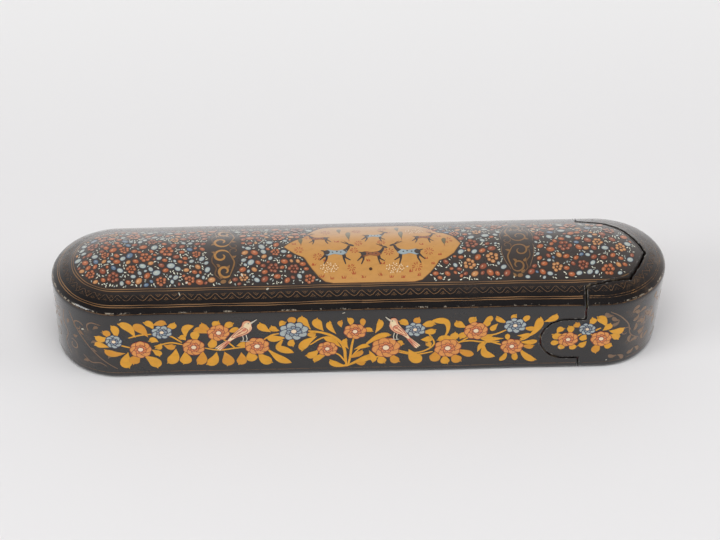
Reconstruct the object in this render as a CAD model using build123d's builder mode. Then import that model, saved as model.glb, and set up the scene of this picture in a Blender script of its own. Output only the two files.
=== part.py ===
"""Lacquered papier-mache pen box with round ends and a domed top.

The casing was moulded whole and then cut across near one end. The long piece is a
sleeve, closed at its far end. The short piece is the cap of a tray that slides out
of the sleeve lengthwise and carries the pens and a brass inkwell.

Sizes are in millimetres. X runs along the box towards the end that pulls out, Y
across it and Z up. The origin is the middle of the underside.
"""

from build123d import *
import os
from math import cos, radians, sin, tan

# casing, as one moulding before it is cut in two
LENGTH = 270.0
WIDTH = 60.0
HEIGHT = 49.4
WALL = 2.5
DRAFT = 2.2  # lean of the side walls, in degrees
SHOULDER_RADIUS = 3.0  # rounding between the wall and the domed top
BASE_RADIUS = 2.0
BORE_RADIUS = 0.8  # rounding along the bottom of the bore
CROWN_SPREAD = 10.0  # half width of the flatter strip along the crown
CROWN_SLOPE = 18.0  # slope of the dome at the edge of that strip, in degrees
EDGE_SLOPE = 34.0  # slope of the dome where it meets the shoulder, in degrees
END_X = (LENGTH - WIDTH) / 2  # centres of the two round ends

# the saw cut between the sleeve and the end cap
KERF = 0.3
CUT_X = 97.4  # where it crosses the top and the upper walls
CUT_FOOT_X = 95.3  # where it crosses the underside
SIDE_TONGUE_X = 89.2  # centre of the cap's round side tongues
SIDE_TONGUE_Z = 17.9
SIDE_TONGUE_RADIUS = 11.1
TOP_TONGUE_Z = 37.0  # the sleeve's top tongue lies wholly above this
TOP_TONGUE_TIP = (125.9, -1.8)
TOP_TONGUE_FRONT = ((CUT_X, -22.9), (104.5, -21.6), (117.0, -19.2))
TOP_TONGUE_FLANK = (122.2, -10.6)
TOP_TONGUE_BACK = ((120.4, 7.4), (111.8, 15.6), (CUT_X, 21.4))

# tray
TRAY_GAP = 0.3  # to the sleeve's bore, all round
TRAY_WALL = 1.8
TRAY_FLOOR = 2.0
TRAY_RIM_Z = 33.0
TRAY_SEAT_X = 99.0  # from here on the tray fills the cap's bore and is glued to it
PARTITION_X = 83.0
PARTITION_THICKNESS = 2.0
PARTITION_RIM_Z = 27.0
PARTITION_SLACK = 0.1

# inkwell
WELL_X = 102.0  # centre of the cup and of its mouth
WELL_LENGTH = 34.0
WELL_WIDTH = 44.0
WELL_HEIGHT = 15.0
WELL_CORNER = 8.0
WELL_WALL = 0.8
PLATE_THICKNESS = 1.0
PLATE_LIP = 0.4  # how far the top plate stands out past the cup
NECK_BORE_RADIUS = 5.8
NECK_WALL = 1.0
NECK_HEIGHT = 2.0
WAD_RADIUS = 13.0
WAD_HEIGHT = 7.0
WAD_ROLL = 0.8  # share of the height that the rolled edge takes

# inkwell lid and its hinge
LID_RADIUS = 7.6
LID_THICKNESS = 1.2
LID_GAP = 0.1
LID_DOME_RADIUS = 26.0
HINGE_REACH = 9.8  # from the mouth's centre to the hinge line
KNUCKLE_RADIUS = 1.3
KNUCKLE_WIDTH = 3.6
EAR_WIDTH = 1.8
EAR_GAP = 0.15
PIN_RADIUS = 0.6
PIN_CLEARANCE = 0.05
KNOB_RADIUS = 1.3
KNOB_STEM_RADIUS = 0.7
KNOB_STEM_HEIGHT = 0.8
KNOB_FOOT_DEPTH = 0.5  # how far the stem is let into the lid

# levels and places worked out from those
TRAY_BOTTOM_Z = WALL + TRAY_GAP
TRAY_FLOOR_Z = TRAY_BOTTOM_Z + TRAY_FLOOR
TRAY_INSET = WALL + TRAY_GAP + TRAY_WALL
WAD_Z = TRAY_FLOOR_Z + WELL_WALL
PLATE_Z = TRAY_FLOOR_Z + WELL_HEIGHT
NECK_Z = PLATE_Z + PLATE_THICKNESS
LID_Z = NECK_Z + NECK_HEIGHT + LID_GAP
HINGE_X = WELL_X + HINGE_REACH
HINGE_Z = LID_Z + LID_THICKNESS / 2
EAR_Y = KNUCKLE_WIDTH / 2 + EAR_GAP
PIN_LENGTH = 2 * (EAR_Y + EAR_WIDTH)

# the crown, dome and shoulder arcs together reach the half width
CROWN_ARC = CROWN_SPREAD / sin(radians(CROWN_SLOPE))
DOME_REACH = WIDTH / 2 - SHOULDER_RADIUS * (1 - sin(radians(EDGE_SLOPE))) - CROWN_SPREAD
DOME_ARC = DOME_REACH / (sin(radians(EDGE_SLOPE)) - sin(radians(CROWN_SLOPE)))
CROWN_DROP = CROWN_ARC * (1 - cos(radians(CROWN_SLOPE)))
DOME_DROP = DOME_ARC * (cos(radians(CROWN_SLOPE)) - cos(radians(EDGE_SLOPE)))
SHOULDER_X = WIDTH / 2 - SHOULDER_RADIUS
SHOULDER_Z = HEIGHT - CROWN_DROP - DOME_DROP - SHOULDER_RADIUS * cos(radians(EDGE_SLOPE))


def wall_at(inset, z):
    """Half width of the casing's wall at a height, moved inwards by the inset."""
    lean = radians(DRAFT)
    return SHOULDER_X + (SHOULDER_RADIUS - inset) / cos(lean) - (SHOULDER_Z - z) * tan(lean)


def wall_and_foot(inset, top, bottom_z, foot_radius):
    """The leaning wall down from a point, the rounding below it, and half the underside."""
    foot_z = bottom_z + foot_radius * (1 - sin(radians(DRAFT)))
    wall = Line(top, (wall_at(inset, foot_z), foot_z))
    foot = JernArc(wall @ 1, wall % 1, foot_radius, DRAFT - 90)
    Line(foot @ 1, (0, bottom_z))


def casing_half(inset, foot_radius):
    """Half of the casing's cross-section. The inset moves all of it inwards."""
    crown = JernArc((0, HEIGHT - inset), (1, 0), CROWN_ARC - inset, -CROWN_SLOPE)
    dome = JernArc(crown @ 1, crown % 1, DOME_ARC - inset, CROWN_SLOPE - EDGE_SLOPE)
    turn = EDGE_SLOPE - 90 - DRAFT
    shoulder = JernArc(dome @ 1, dome % 1, SHOULDER_RADIUS - inset, turn)
    wall_and_foot(inset, shoulder @ 1, inset, foot_radius)
    Line((0, inset), crown @ 0)


def tray_half(inset, bottom_z, foot_radius, rim_z):
    """Half of an open-topped section with walls parallel to the casing's."""
    rim = (wall_at(inset, rim_z), rim_z)
    wall_and_foot(inset, rim, bottom_z, foot_radius)
    Polyline((0, bottom_z), (0, rim_z), rim)


def round_ended(half_outline, *sizes):
    """A half section run along the straight middle and swung round at both ends."""
    with BuildPart() as body:
        with BuildSketch(Plane.YZ):
            with BuildLine():
                half_outline(*sizes)
            make_face()
            mirror(about=Plane.YZ)
        extrude(amount=END_X, both=True)
        for side in (-1, 1):
            centre = (side * END_X, 0, 0)
            with BuildSketch(Plane(centre, x_dir=(0, 1, 0), z_dir=(1, 0, 0))):
                with BuildLine():
                    half_outline(*sizes)
                make_face()
            revolve(axis=Axis(centre, (0, 0, -side)), revolution_arc=180)
    return body.part


def cap_zone(kerf):
    """The space that belongs to the end cap, grown by the kerf towards the sleeve."""
    far_x = LENGTH / 2 + WALL
    high_z = HEIGHT + WALL
    tongue_root = CUT_X - WALL
    with BuildPart() as zone:
        with BuildSketch(Plane.XZ):
            with BuildLine():
                Polyline(
                    (CUT_FOOT_X, -WALL),
                    (CUT_FOOT_X, SIDE_TONGUE_Z),
                    (CUT_X, SIDE_TONGUE_Z),
                    (CUT_X, high_z),
                    (far_x, high_z),
                    (far_x, -WALL),
                    close=True,
                )
            make_face()
            with Locations((SIDE_TONGUE_X, SIDE_TONGUE_Z)):
                Circle(SIDE_TONGUE_RADIUS)
            with Locations(((SIDE_TONGUE_X + CUT_X) / 2, SIDE_TONGUE_Z)):
                Rectangle(CUT_X - SIDE_TONGUE_X, 2 * SIDE_TONGUE_RADIUS)
            if kerf:
                offset(amount=kerf, kind=Kind.INTERSECTION)
        extrude(amount=WIDTH, both=True)
        with BuildSketch(Plane.XY.offset(TOP_TONGUE_Z)):
            with BuildLine():
                front = Polyline((tongue_root, TOP_TONGUE_FRONT[0][1]), *TOP_TONGUE_FRONT)
                flank = ThreePointArc(front @ 1, TOP_TONGUE_FLANK, TOP_TONGUE_TIP)
                back = ThreePointArc(flank @ 1, *TOP_TONGUE_BACK[:2])
                shoulder = TangentArc(back @ 1, TOP_TONGUE_BACK[2], tangent=back % 1)
                Polyline(shoulder @ 1, (tongue_root, TOP_TONGUE_BACK[2][1]), front @ 0)
            make_face()
            if kerf:
                offset(amount=-kerf, kind=Kind.INTERSECTION)
        extrude(amount=high_z - TOP_TONGUE_Z, mode=Mode.SUBTRACT)
    return zone.part


casing = round_ended(casing_half, 0, BASE_RADIUS)
bore = round_ended(casing_half, WALL, BORE_RADIUS)
os.makedirs("parts", exist_ok=True)

# sleeve: the long piece, with a pointed tongue on top and a round notch in each wall
with BuildPart() as sleeve_casing:
    add(casing)
    add(cap_zone(KERF), mode=Mode.SUBTRACT)
    add(bore, mode=Mode.SUBTRACT)
sleeve_casing.part.label = "sleeve_casing"
export_step(sleeve_casing.part, "parts/sleeve_casing.step")

# end cap: the short piece, with a round tongue on each wall
with BuildPart() as end_cap:
    add(casing)
    add(cap_zone(0), mode=Mode.INTERSECT)
    add(bore, mode=Mode.SUBTRACT)
end_cap.part.label = "end_cap"
export_step(end_cap.part, "parts/end_cap.step")

# tray: an open trough, a little full where it is glued into the cap
tray_outside = round_ended(
    tray_half, WALL + TRAY_GAP, TRAY_BOTTOM_Z, BORE_RADIUS - TRAY_GAP, TRAY_RIM_Z
)
tray_inside = round_ended(
    tray_half, TRAY_INSET, TRAY_FLOOR_Z, BORE_RADIUS, TRAY_RIM_Z + TRAY_WALL
)
with BuildPart() as tray_seat:
    add(round_ended(tray_half, WALL, WALL, BORE_RADIUS, TRAY_RIM_Z))
    split(bisect_by=Plane.YZ.offset(TRAY_SEAT_X), keep=Keep.TOP)
with BuildPart() as tray_trough:
    add(tray_outside)
    add(tray_seat.part)
    add(tray_inside, mode=Mode.SUBTRACT)
tray_trough.part.label = "tray_trough"
export_step(tray_trough.part, "parts/tray_trough.step")

# partition: a board across the tray that keeps the pens off the inkwell
partition_foot = wall_at(TRAY_INSET, TRAY_FLOOR_Z + BORE_RADIUS) - PARTITION_SLACK
partition_rim = wall_at(TRAY_INSET, PARTITION_RIM_Z) - PARTITION_SLACK
with BuildPart() as tray_partition:
    with BuildSketch(Plane.YZ.offset(PARTITION_X)):
        with BuildLine():
            Polyline(
                (-partition_foot + BORE_RADIUS, TRAY_FLOOR_Z),
                (partition_foot - BORE_RADIUS, TRAY_FLOOR_Z),
                (partition_foot, TRAY_FLOOR_Z + BORE_RADIUS),
                (partition_rim, PARTITION_RIM_Z),
                (-partition_rim, PARTITION_RIM_Z),
                (-partition_foot, TRAY_FLOOR_Z + BORE_RADIUS),
                close=True,
            )
        make_face()
    extrude(amount=PARTITION_THICKNESS / 2, both=True)
    rim = tray_partition.edges().filter_by(Axis.Y).group_by(Axis.Z)[-1]
    fillet(rim, radius=0.45 * PARTITION_THICKNESS)
tray_partition.part.label = "tray_partition"
export_step(tray_partition.part, "parts/tray_partition.step")

# inkwell cup: a brass box with rounded corners, open at the top
with BuildPart() as inkwell_cup:
    with BuildSketch(Plane.XY.offset(TRAY_FLOOR_Z)):
        with Locations((WELL_X, 0)):
            RectangleRounded(WELL_LENGTH, WELL_WIDTH, WELL_CORNER)
    extrude(amount=WELL_HEIGHT)
    with BuildSketch(Plane.XY.offset(WAD_Z)):
        with Locations((WELL_X, 0)):
            RectangleRounded(
                WELL_LENGTH - 2 * WELL_WALL,
                WELL_WIDTH - 2 * WELL_WALL,
                WELL_CORNER - WELL_WALL,
            )
    extrude(amount=WELL_HEIGHT, mode=Mode.SUBTRACT)
inkwell_cup.part.label = "inkwell_cup"
export_step(inkwell_cup.part, "parts/inkwell_cup.step")

# inkwell top: a plate soldered on the cup, with a round neck for the mouth
with BuildPart() as inkwell_top:
    with BuildSketch(Plane.XY.offset(PLATE_Z)):
        with Locations((WELL_X, 0)):
            RectangleRounded(
                WELL_LENGTH + 2 * PLATE_LIP,
                WELL_WIDTH + 2 * PLATE_LIP,
                WELL_CORNER + PLATE_LIP,
            )
    extrude(amount=PLATE_THICKNESS)
    fillet(inkwell_top.faces().sort_by(Axis.Z)[-1].edges(), radius=PLATE_LIP)
    with BuildSketch(Plane.XY.offset(NECK_Z)):
        with Locations((WELL_X, 0)):
            Circle(NECK_BORE_RADIUS + NECK_WALL)
    extrude(amount=NECK_HEIGHT)
    with BuildSketch(Plane.XY.offset(PLATE_Z)):
        with Locations((WELL_X, 0)):
            Circle(NECK_BORE_RADIUS)
    extrude(amount=PLATE_THICKNESS + NECK_HEIGHT, mode=Mode.SUBTRACT)
inkwell_top.part.label = "inkwell_top"
export_step(inkwell_top.part, "parts/inkwell_top.step")

# ink wad: the ball of silk floss that holds the ink, pressed flat in the cup
with BuildPart() as ink_wad:
    roll = WAD_ROLL * WAD_HEIGHT / 2
    reach = WAD_RADIUS - roll
    rise = WAD_HEIGHT - 2 * roll
    with BuildSketch(Plane((WELL_X, 0, WAD_Z), x_dir=(1, 0, 0), z_dir=(0, -1, 0))):
        with BuildLine():
            flat = Line((0, 0), (reach, 0))
            rolled = JernArc(flat @ 1, (1, 0), roll, 180)
            crowned = RadiusArc(rolled @ 1, (0, WAD_HEIGHT), -(reach**2 + rise**2) / (2 * rise))
            Line(crowned @ 1, flat @ 0)
        make_face()
    revolve(axis=Axis((WELL_X, 0, 0), (0, 0, 1)))
ink_wad.part.label = "ink_wad"
export_step(ink_wad.part, "parts/ink_wad.step")

# hinge ears: two standing eyes soldered to the inkwell's top plate
hinge_plane = Plane((HINGE_X, 0, HINGE_Z), x_dir=(1, 0, 0), z_dir=(0, -1, 0))
ear_foot = HINGE_Z - NECK_Z
with BuildPart() as hinge_ears:
    for side in (-1, 1):
        with BuildSketch(hinge_plane.offset(side * (EAR_Y + EAR_WIDTH / 2))):
            Circle(KNUCKLE_RADIUS)
            with Locations((0, -ear_foot / 2)):
                Rectangle(2 * KNUCKLE_RADIUS, ear_foot)
            Circle(PIN_RADIUS, mode=Mode.SUBTRACT)
        extrude(amount=EAR_WIDTH / 2, both=True)
hinge_ears.part.label = "hinge_ears"
export_step(hinge_ears.part, "parts/hinge_ears.step")

# hinge pin: a wire driven through both ears
with BuildPart() as hinge_pin:
    with BuildSketch(hinge_plane):
        Circle(PIN_RADIUS)
    extrude(amount=PIN_LENGTH / 2, both=True)
hinge_pin.part.label = "hinge_pin"
export_step(hinge_pin.part, "parts/hinge_pin.step")

# inkwell lid: a shallow domed disc, cast with the knuckle that turns on the pin
lid_top_z = LID_Z + LID_THICKNESS + LID_DOME_RADIUS - (LID_DOME_RADIUS**2 - LID_RADIUS**2) ** 0.5
knob_foot_z = lid_top_z - KNOB_FOOT_DEPTH
lid_plane = Plane((WELL_X, 0, 0), x_dir=(1, 0, 0), z_dir=(0, -1, 0))
with BuildPart() as inkwell_lid:
    with BuildSketch(lid_plane):
        with BuildLine():
            edge = Polyline((0, LID_Z), (LID_RADIUS, LID_Z), (LID_RADIUS, LID_Z + LID_THICKNESS))
            top = RadiusArc(edge @ 1, (0, lid_top_z), -LID_DOME_RADIUS)
            Line(top @ 1, edge @ 0)
        make_face()
    revolve(axis=Axis((WELL_X, 0, 0), (0, 0, 1)))
    with BuildSketch(hinge_plane):
        Circle(KNUCKLE_RADIUS)
        with Locations((-HINGE_REACH / 4, 0)):
            Rectangle(HINGE_REACH / 2, LID_THICKNESS)
    extrude(amount=KNUCKLE_WIDTH / 2, both=True)
    with BuildSketch(hinge_plane):
        Circle(PIN_RADIUS + PIN_CLEARANCE)
    extrude(amount=KNUCKLE_WIDTH, both=True, mode=Mode.SUBTRACT)
    with BuildSketch(Plane.XY.offset(knob_foot_z)):
        with Locations((WELL_X, 0)):
            Circle(KNOB_STEM_RADIUS)
    extrude(amount=KNOB_FOOT_DEPTH, mode=Mode.SUBTRACT)
inkwell_lid.part.label = "inkwell_lid"
export_step(inkwell_lid.part, "parts/inkwell_lid.step")

# lid knob: a small turned button riveted to the lid
with BuildPart() as lid_knob:
    with BuildSketch(Plane.XY.offset(knob_foot_z)):
        with Locations((WELL_X, 0)):
            Circle(KNOB_STEM_RADIUS)
    extrude(amount=KNOB_FOOT_DEPTH + KNOB_STEM_HEIGHT + KNOB_RADIUS)
    with Locations((WELL_X, 0, lid_top_z + KNOB_STEM_HEIGHT + KNOB_RADIUS)):
        Sphere(KNOB_RADIUS)
lid_knob.part.label = "lid_knob"
export_step(lid_knob.part, "parts/lid_knob.step")
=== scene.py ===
import random
from math import ceil, cos, hypot, pi, radians, sin, sqrt, tan

import bmesh
import bpy
import numpy as np
from mathutils import Matrix, Vector


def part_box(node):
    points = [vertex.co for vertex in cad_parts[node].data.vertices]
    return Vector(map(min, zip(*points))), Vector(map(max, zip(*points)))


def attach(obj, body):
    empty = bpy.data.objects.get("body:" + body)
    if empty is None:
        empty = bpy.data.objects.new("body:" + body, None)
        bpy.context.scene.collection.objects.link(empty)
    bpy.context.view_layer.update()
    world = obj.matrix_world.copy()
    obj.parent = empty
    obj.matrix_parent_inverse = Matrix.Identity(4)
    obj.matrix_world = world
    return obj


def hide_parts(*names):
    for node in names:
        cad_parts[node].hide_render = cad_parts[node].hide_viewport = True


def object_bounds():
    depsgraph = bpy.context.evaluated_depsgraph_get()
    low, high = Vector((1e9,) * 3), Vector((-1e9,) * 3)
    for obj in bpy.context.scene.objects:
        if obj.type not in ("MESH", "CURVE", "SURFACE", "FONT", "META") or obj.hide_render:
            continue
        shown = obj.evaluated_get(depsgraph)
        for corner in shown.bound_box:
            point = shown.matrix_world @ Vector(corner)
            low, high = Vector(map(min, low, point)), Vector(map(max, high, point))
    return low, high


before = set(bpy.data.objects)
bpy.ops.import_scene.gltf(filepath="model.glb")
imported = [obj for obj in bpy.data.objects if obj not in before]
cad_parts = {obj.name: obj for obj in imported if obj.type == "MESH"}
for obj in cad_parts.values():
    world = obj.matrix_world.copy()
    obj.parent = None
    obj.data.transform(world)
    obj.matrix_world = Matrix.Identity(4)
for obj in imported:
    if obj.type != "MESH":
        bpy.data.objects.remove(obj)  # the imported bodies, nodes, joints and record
cad_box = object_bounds()

# The casing. Sheets of paper pulp are laid over a wooden form and dry into one hollow shell
# with round ends and a domed top. It is painted and lacquered whole and only then cut in two.
MM = 0.001
HALF_WIDTH = cad_box[1][1] / MM
HEIGHT = cad_box[1][2] / MM
END_X = cad_box[1][0] / MM - HALF_WIDTH  # centres of the two round ends
WALL = 2.5
DRAFT = 2.2  # lean of the walls, in degrees
SHOULDER_RADIUS = 3.0
BASE_RADIUS = 2.0
BORE_RADIUS = 0.8
CROWN_SPREAD = 10.0  # half width of the flatter strip along the crown
CROWN_SLOPE = 18.0
EDGE_SLOPE = 34.0
CROWN_ARC = CROWN_SPREAD / sin(radians(CROWN_SLOPE))
DOME_REACH = HALF_WIDTH - SHOULDER_RADIUS * (1 - sin(radians(EDGE_SLOPE))) - CROWN_SPREAD
DOME_ARC = DOME_REACH / (sin(radians(EDGE_SLOPE)) - sin(radians(CROWN_SLOPE)))
SHOULDER_START = CROWN_SPREAD + DOME_REACH
RUBBED_DOWN = 0.50  # how far the face lies inside its full size, as it was formed by hand
SETTLED = 0.28  # how far the top has sunk
FOOT_TUCK = 1.2  # how far the foot of the cap's end draws in
WELD_REACH = 0.004  # points nearer than this are one point
CREASE = 38  # edges that turn by more degrees than this stay sharp


def stepped(centre, radius, slope):
    """The point at a slope, in degrees from level, on an arc of the section."""
    return (centre[0] + radius * sin(radians(slope)), centre[1] + radius * cos(radians(slope)))


CROWN_CENTRE = (0.0, HEIGHT - CROWN_ARC)
DOME_CENTRE = stepped(CROWN_CENTRE, CROWN_ARC - DOME_ARC, CROWN_SLOPE)
SHOULDER_CENTRE = stepped(DOME_CENTRE, DOME_ARC - SHOULDER_RADIUS, EDGE_SLOPE)


def wall_at(inset, z):
    """Half width of the wall at a height, moved inwards by the inset."""
    lean = radians(DRAFT)
    reach = SHOULDER_CENTRE[0] + (SHOULDER_RADIUS - inset) / cos(lean)
    return reach - (SHOULDER_CENTRE[1] - z) * tan(lean)


def top_z(r):
    """Height of the domed top at a distance from the centre line."""
    if r <= CROWN_SPREAD:
        return CROWN_CENTRE[1] + sqrt(CROWN_ARC**2 - r**2)
    if r <= SHOULDER_START:
        return DOME_CENTRE[1] + sqrt(DOME_ARC**2 - (r - DOME_CENTRE[0]) ** 2)
    return SHOULDER_CENTRE[1] + sqrt(max(0.0, SHOULDER_RADIUS**2 - (r - SHOULDER_CENTRE[0]) ** 2))


def top_slope(r):
    """Slope of the domed top there, in radians."""
    if r <= CROWN_SPREAD:
        return np.arcsin(r / CROWN_ARC)
    if r <= SHOULDER_START:
        return np.arcsin((r - DOME_CENTRE[0]) / DOME_ARC)
    return np.arcsin(min(1.0, (r - SHOULDER_CENTRE[0]) / SHOULDER_RADIUS))


def arc(centre, radius, first, last, step):
    count = max(2, ceil(radius * radians(abs(last - first)) / step))
    return [stepped(centre, radius, slope) for slope in np.linspace(first, last, count + 1)]


def line(start, end, step):
    count = max(1, ceil(hypot(end[0] - start[0], end[1] - start[1]) / step))
    return [tuple(point) for point in np.linspace(start, end, count + 1)]


def foot_arc(inset, bottom_z, radius, step):
    """The rounding between a wall and the underside below it."""
    centre_z = bottom_z + radius
    return arc((wall_at(inset + radius, centre_z), centre_z), radius, 90 + DRAFT, 180, step)


def casing_section(inset, foot_radius, step):
    """Half of the casing's section, from the crown to the middle of the base."""
    points = arc(CROWN_CENTRE, CROWN_ARC - inset, 0, CROWN_SLOPE, step)
    points += arc(DOME_CENTRE, DOME_ARC - inset, CROWN_SLOPE, EDGE_SLOPE, step)[1:]
    points += arc(SHOULDER_CENTRE, SHOULDER_RADIUS - inset, EDGE_SLOPE, 90 + DRAFT, step / 2)[1:]
    foot = foot_arc(inset, inset, foot_radius, step / 2)
    points += line(points[-1], foot[0], step)[1:] + foot[1:]
    return points + line(foot[-1], (0.0, inset), 3 * step)[1:]


LOOP = 4 * END_X + 2 * pi * HALF_WIDTH  # once round the box, at the half width


def heading(s):
    """The centre line's point and the outward direction at a place round the box.

    s is in mm, counted from the middle of the front, and is positive to the right.
    """
    s = (s + LOOP / 2) % LOOP - LOOP / 2
    side = 1 if s >= 0 else -1
    past = abs(s) - END_X
    if past <= 0:
        return s, 0.0, -1.0
    if past >= pi * HALF_WIDTH:
        return side * (END_X - past + pi * HALF_WIDTH), 0.0, 1.0
    return side * END_X, side * sin(past / HALF_WIDTH), -cos(past / HALF_WIDTH)


def hand_made(x, y, z):
    """The small unevenness of a shell that was formed and rubbed down by hand.

    It only ever takes the face inwards, so the painting on it stays inside the shell's size.
    """
    waves = 0.16 * sin(x / 31.0 + 0.6) * cos(z / 17.0) + 0.10 * sin(x / 11.3 + y / 23.0)
    grown = 1 + (waves - RUBBED_DOWN) / HALF_WIDTH
    past = min(1.0, max(0.0, (x - END_X + 12) / 42))
    tuck = FOOT_TUCK * past**2 * (1 - min(1.0, z / 38))
    sunk = (0.10 * sin(x / 26.0 + 1.3) - SETTLED) * (z / HEIGHT) ** 2
    middle = min(END_X, max(-END_X, x))
    return middle + (x - middle) * grown - tuck, y * grown, z + sunk


def around(section, step=1.25):
    """Points and faces of a section carried once round the centre line, round ends included."""
    turns = ceil(pi * HALF_WIDTH / step)
    runs = ceil(2 * END_X / step)
    half = [k * 2 * END_X / runs - END_X for k in range(runs)]
    half += [END_X + k * pi * HALF_WIDTH / turns for k in range(turns)]
    places = half + [s + LOOP / 2 for s in half]
    points, faces = [], []
    for s in places:
        x, dx, dy = heading(s)
        points += [(x + dx * r, dy * r, z) for r, z in section]
    rows, columns = len(section), len(places)
    for i in range(columns):
        j = (i + 1) % columns
        for k in range(rows - 1):
            faces.append((i * rows + k, j * rows + k, j * rows + k + 1, i * rows + k + 1))
    return points, faces


def plain_mesh(name, points, faces, welded=True, inside_out=False):
    """A mesh in metres from points in mm, welded, its faces turned outwards."""
    mesh = bpy.data.meshes.new(name)
    mesh.from_pydata([(x * MM, y * MM, z * MM) for x, y, z in points], [], faces)
    if welded:
        work = bmesh.new()
        work.from_mesh(mesh)
        bmesh.ops.remove_doubles(work, verts=work.verts, dist=WELD_REACH * MM)
        bmesh.ops.dissolve_degenerate(work, edges=work.edges, dist=WELD_REACH / 2 * MM)
        bmesh.ops.recalc_face_normals(work, faces=work.faces)
        if inside_out:
            bmesh.ops.reverse_faces(work, faces=work.faces)
        work.to_mesh(mesh)
        work.free()
    return mesh


def shown(name, mesh, *materials):
    piece = bpy.data.objects.new(name, mesh)
    for material in materials:
        mesh.materials.append(material)
    bpy.context.scene.collection.objects.link(piece)
    return piece


def settled(piece):
    """The piece with its modifiers applied, as one plain mesh."""
    graph = bpy.context.evaluated_depsgraph_get()
    mesh = bpy.data.meshes.new_from_object(piece.evaluated_get(graph))
    piece.modifiers.clear()
    old = piece.data
    piece.data = mesh
    bpy.data.meshes.remove(old)
    return piece


class Value:
    """A shader socket that can be used in Python sums. Each operator adds a Math node."""

    def __init__(self, finish, socket):
        self.finish = finish
        self.socket = socket

    def maths(self, operation, *others):
        values = dict(enumerate((self,) + others))
        return self.finish.node("Math", values, operation=operation)

    def __add__(self, other):
        return self.maths("ADD", other)

    def __sub__(self, other):
        return self.maths("SUBTRACT", other)

    def __rsub__(self, other):
        return (self * -1).maths("ADD", other)

    def __mul__(self, other):
        return self.maths("MULTIPLY", other)

    __radd__ = __add__
    __rmul__ = __mul__


class Finish:
    """A material that is written as sums of values and ends in one Principled shader."""

    def __init__(self, name, **constants):
        self.material = bpy.data.materials.new(name)
        self.material.use_nodes = True
        self.tree = self.material.node_tree
        self.shader = self.tree.nodes["Principled BSDF"]
        for key, value in constants.items():
            self.shader.inputs[key.replace("_", " ")].default_value = value

    def node(self, kind, inputs=None, output=0, **settings):
        """Adds a node with its settings first, then its inputs, and gives one of its outputs."""
        node = self.tree.nodes.new("ShaderNode" + kind)
        for key, value in settings.items():
            setattr(node, key, value)
        for key, value in (inputs or {}).items():
            socket = node.inputs[key]
            if isinstance(value, Value):
                self.tree.links.new(value.socket, socket)
            else:
                socket.default_value = value
        return Value(self, node.outputs[output])

    def spot(self):
        """Where on the box a point is, in metres."""
        return self.node("TexCoord", output="Object")

    def noise(self, scale, detail=2.0, roughness=0.5, stretch=(1, 1, 1)):
        where = self.node("Mapping", {"Vector": self.spot(), "Scale": stretch})
        values = {"Vector": where, "Scale": scale, "Detail": detail, "Roughness": roughness}
        return self.node("TexNoise", values)

    def step(self, value, low, high):
        """0 below low, 1 above high and smooth between them."""
        values = {0: value, 1: low, 2: high, 3: 0.0, 4: 1.0}
        return self.node("MapRange", values, interpolation_type="SMOOTHSTEP")

    def mixed(self, share, first, second):
        """A colour between two colours."""
        values = {0: share, 6: first, 7: second}
        return self.node("Mix", values, output=2, data_type="RGBA")

    def attribute(self, name, output="Fac"):
        return self.node("Attribute", output=output, attribute_name=name)

    def bump(self, height, distance, strength):
        values = {"Height": height, "Distance": distance, "Strength": strength}
        return self.node("Bump", values)

    def wear(self, **links):
        """Links values to the shader's inputs."""
        for key, value in links.items():
            self.tree.links.new(value.socket, self.shader.inputs[key.replace("_", " ")])
        return self.material


def rgb(red, green, blue):
    """A colour given as it looks on a screen, from 0 to 255, as linear light."""
    values = [c / 255 for c in (red, green, blue)]
    linear = [c / 12.92 if c <= 0.04045 else ((c + 0.055) / 1.055) ** 2.4 for c in values]
    return (*linear, 1.0)


# The saw cut. The dry shell was sawn through near its right end: straight across the base,
# round a tongue on each wall that stays with the cap, and round a pointed tongue on top that
# stays with the sleeve. The saw wandered a little and frayed the lacquer.
KERF = 0.85
CUT_X = 97.4  # where it crosses the top and the upper walls
CUT_FOOT_X = 95.3  # where it crosses the base
SIDE_TONGUE = (89.2, 17.9)  # centre of the round tongue on each wall
SIDE_TONGUE_RADIUS = 11.1
TONGUE_FLOOR_Z = 37.0  # the top tongue lies above this
TONGUE_SPREAD = 24.0  # and this near to the centre line
TOP_TONGUE = [(97.4, -22.9), (104.5, -21.6), (117.0, -19.2), (122.2, -10.6), (125.9, -1.8),
              (120.4, 7.4), (111.8, 15.6), (97.4, 21.4)]
TIP_GAPE = 0.8  # share by which the cut widens towards the tongue's tip
GAPE_X, GAPE_RUN = 106.0, 12.0  # where it starts to widen, and over what length
SAW_STEP = 0.8
FAR = 60.0  # past every face of the box


def smooth_path(points, step):
    """A soft curve through the points, sampled about every step."""
    points = [np.array(p, dtype=float) for p in points]
    ends = [2 * points[0] - points[1]] + points + [2 * points[-1] - points[-2]]
    path = []
    for a, b, c, d in zip(ends, ends[1:], ends[2:], ends[3:]):
        count = max(1, ceil(np.linalg.norm(c - b) / step))
        for t in np.arange(count) / count:
            path.append(0.5 * (2 * b + (c - a) * t + (2 * a - 5 * b + 4 * c - d) * t**2
                               + (3 * b - a - 3 * c + d) * t**3))
    return path + [points[-1]]


def saw_wander(point):
    """A point of the cut, moved by the small wander of the saw."""
    u, v = point
    return (u + 0.16 * sin(v * 1.3 + u * 0.7) + 0.09 * sin(v * 4.3), v + 0.12 * sin(u * 1.7 + v))


def distance_to(path, point):
    """Distance from a point to a path of straight runs, both flat."""
    start, end = path[:-1], path[1:]
    along = end - start
    share = ((point - start) * along).sum(1) / (along**2).sum(1)
    nearest = start + along * np.clip(share, 0, 1)[:, None]
    return np.sqrt(((point - nearest) ** 2).sum(1).min())


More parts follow.
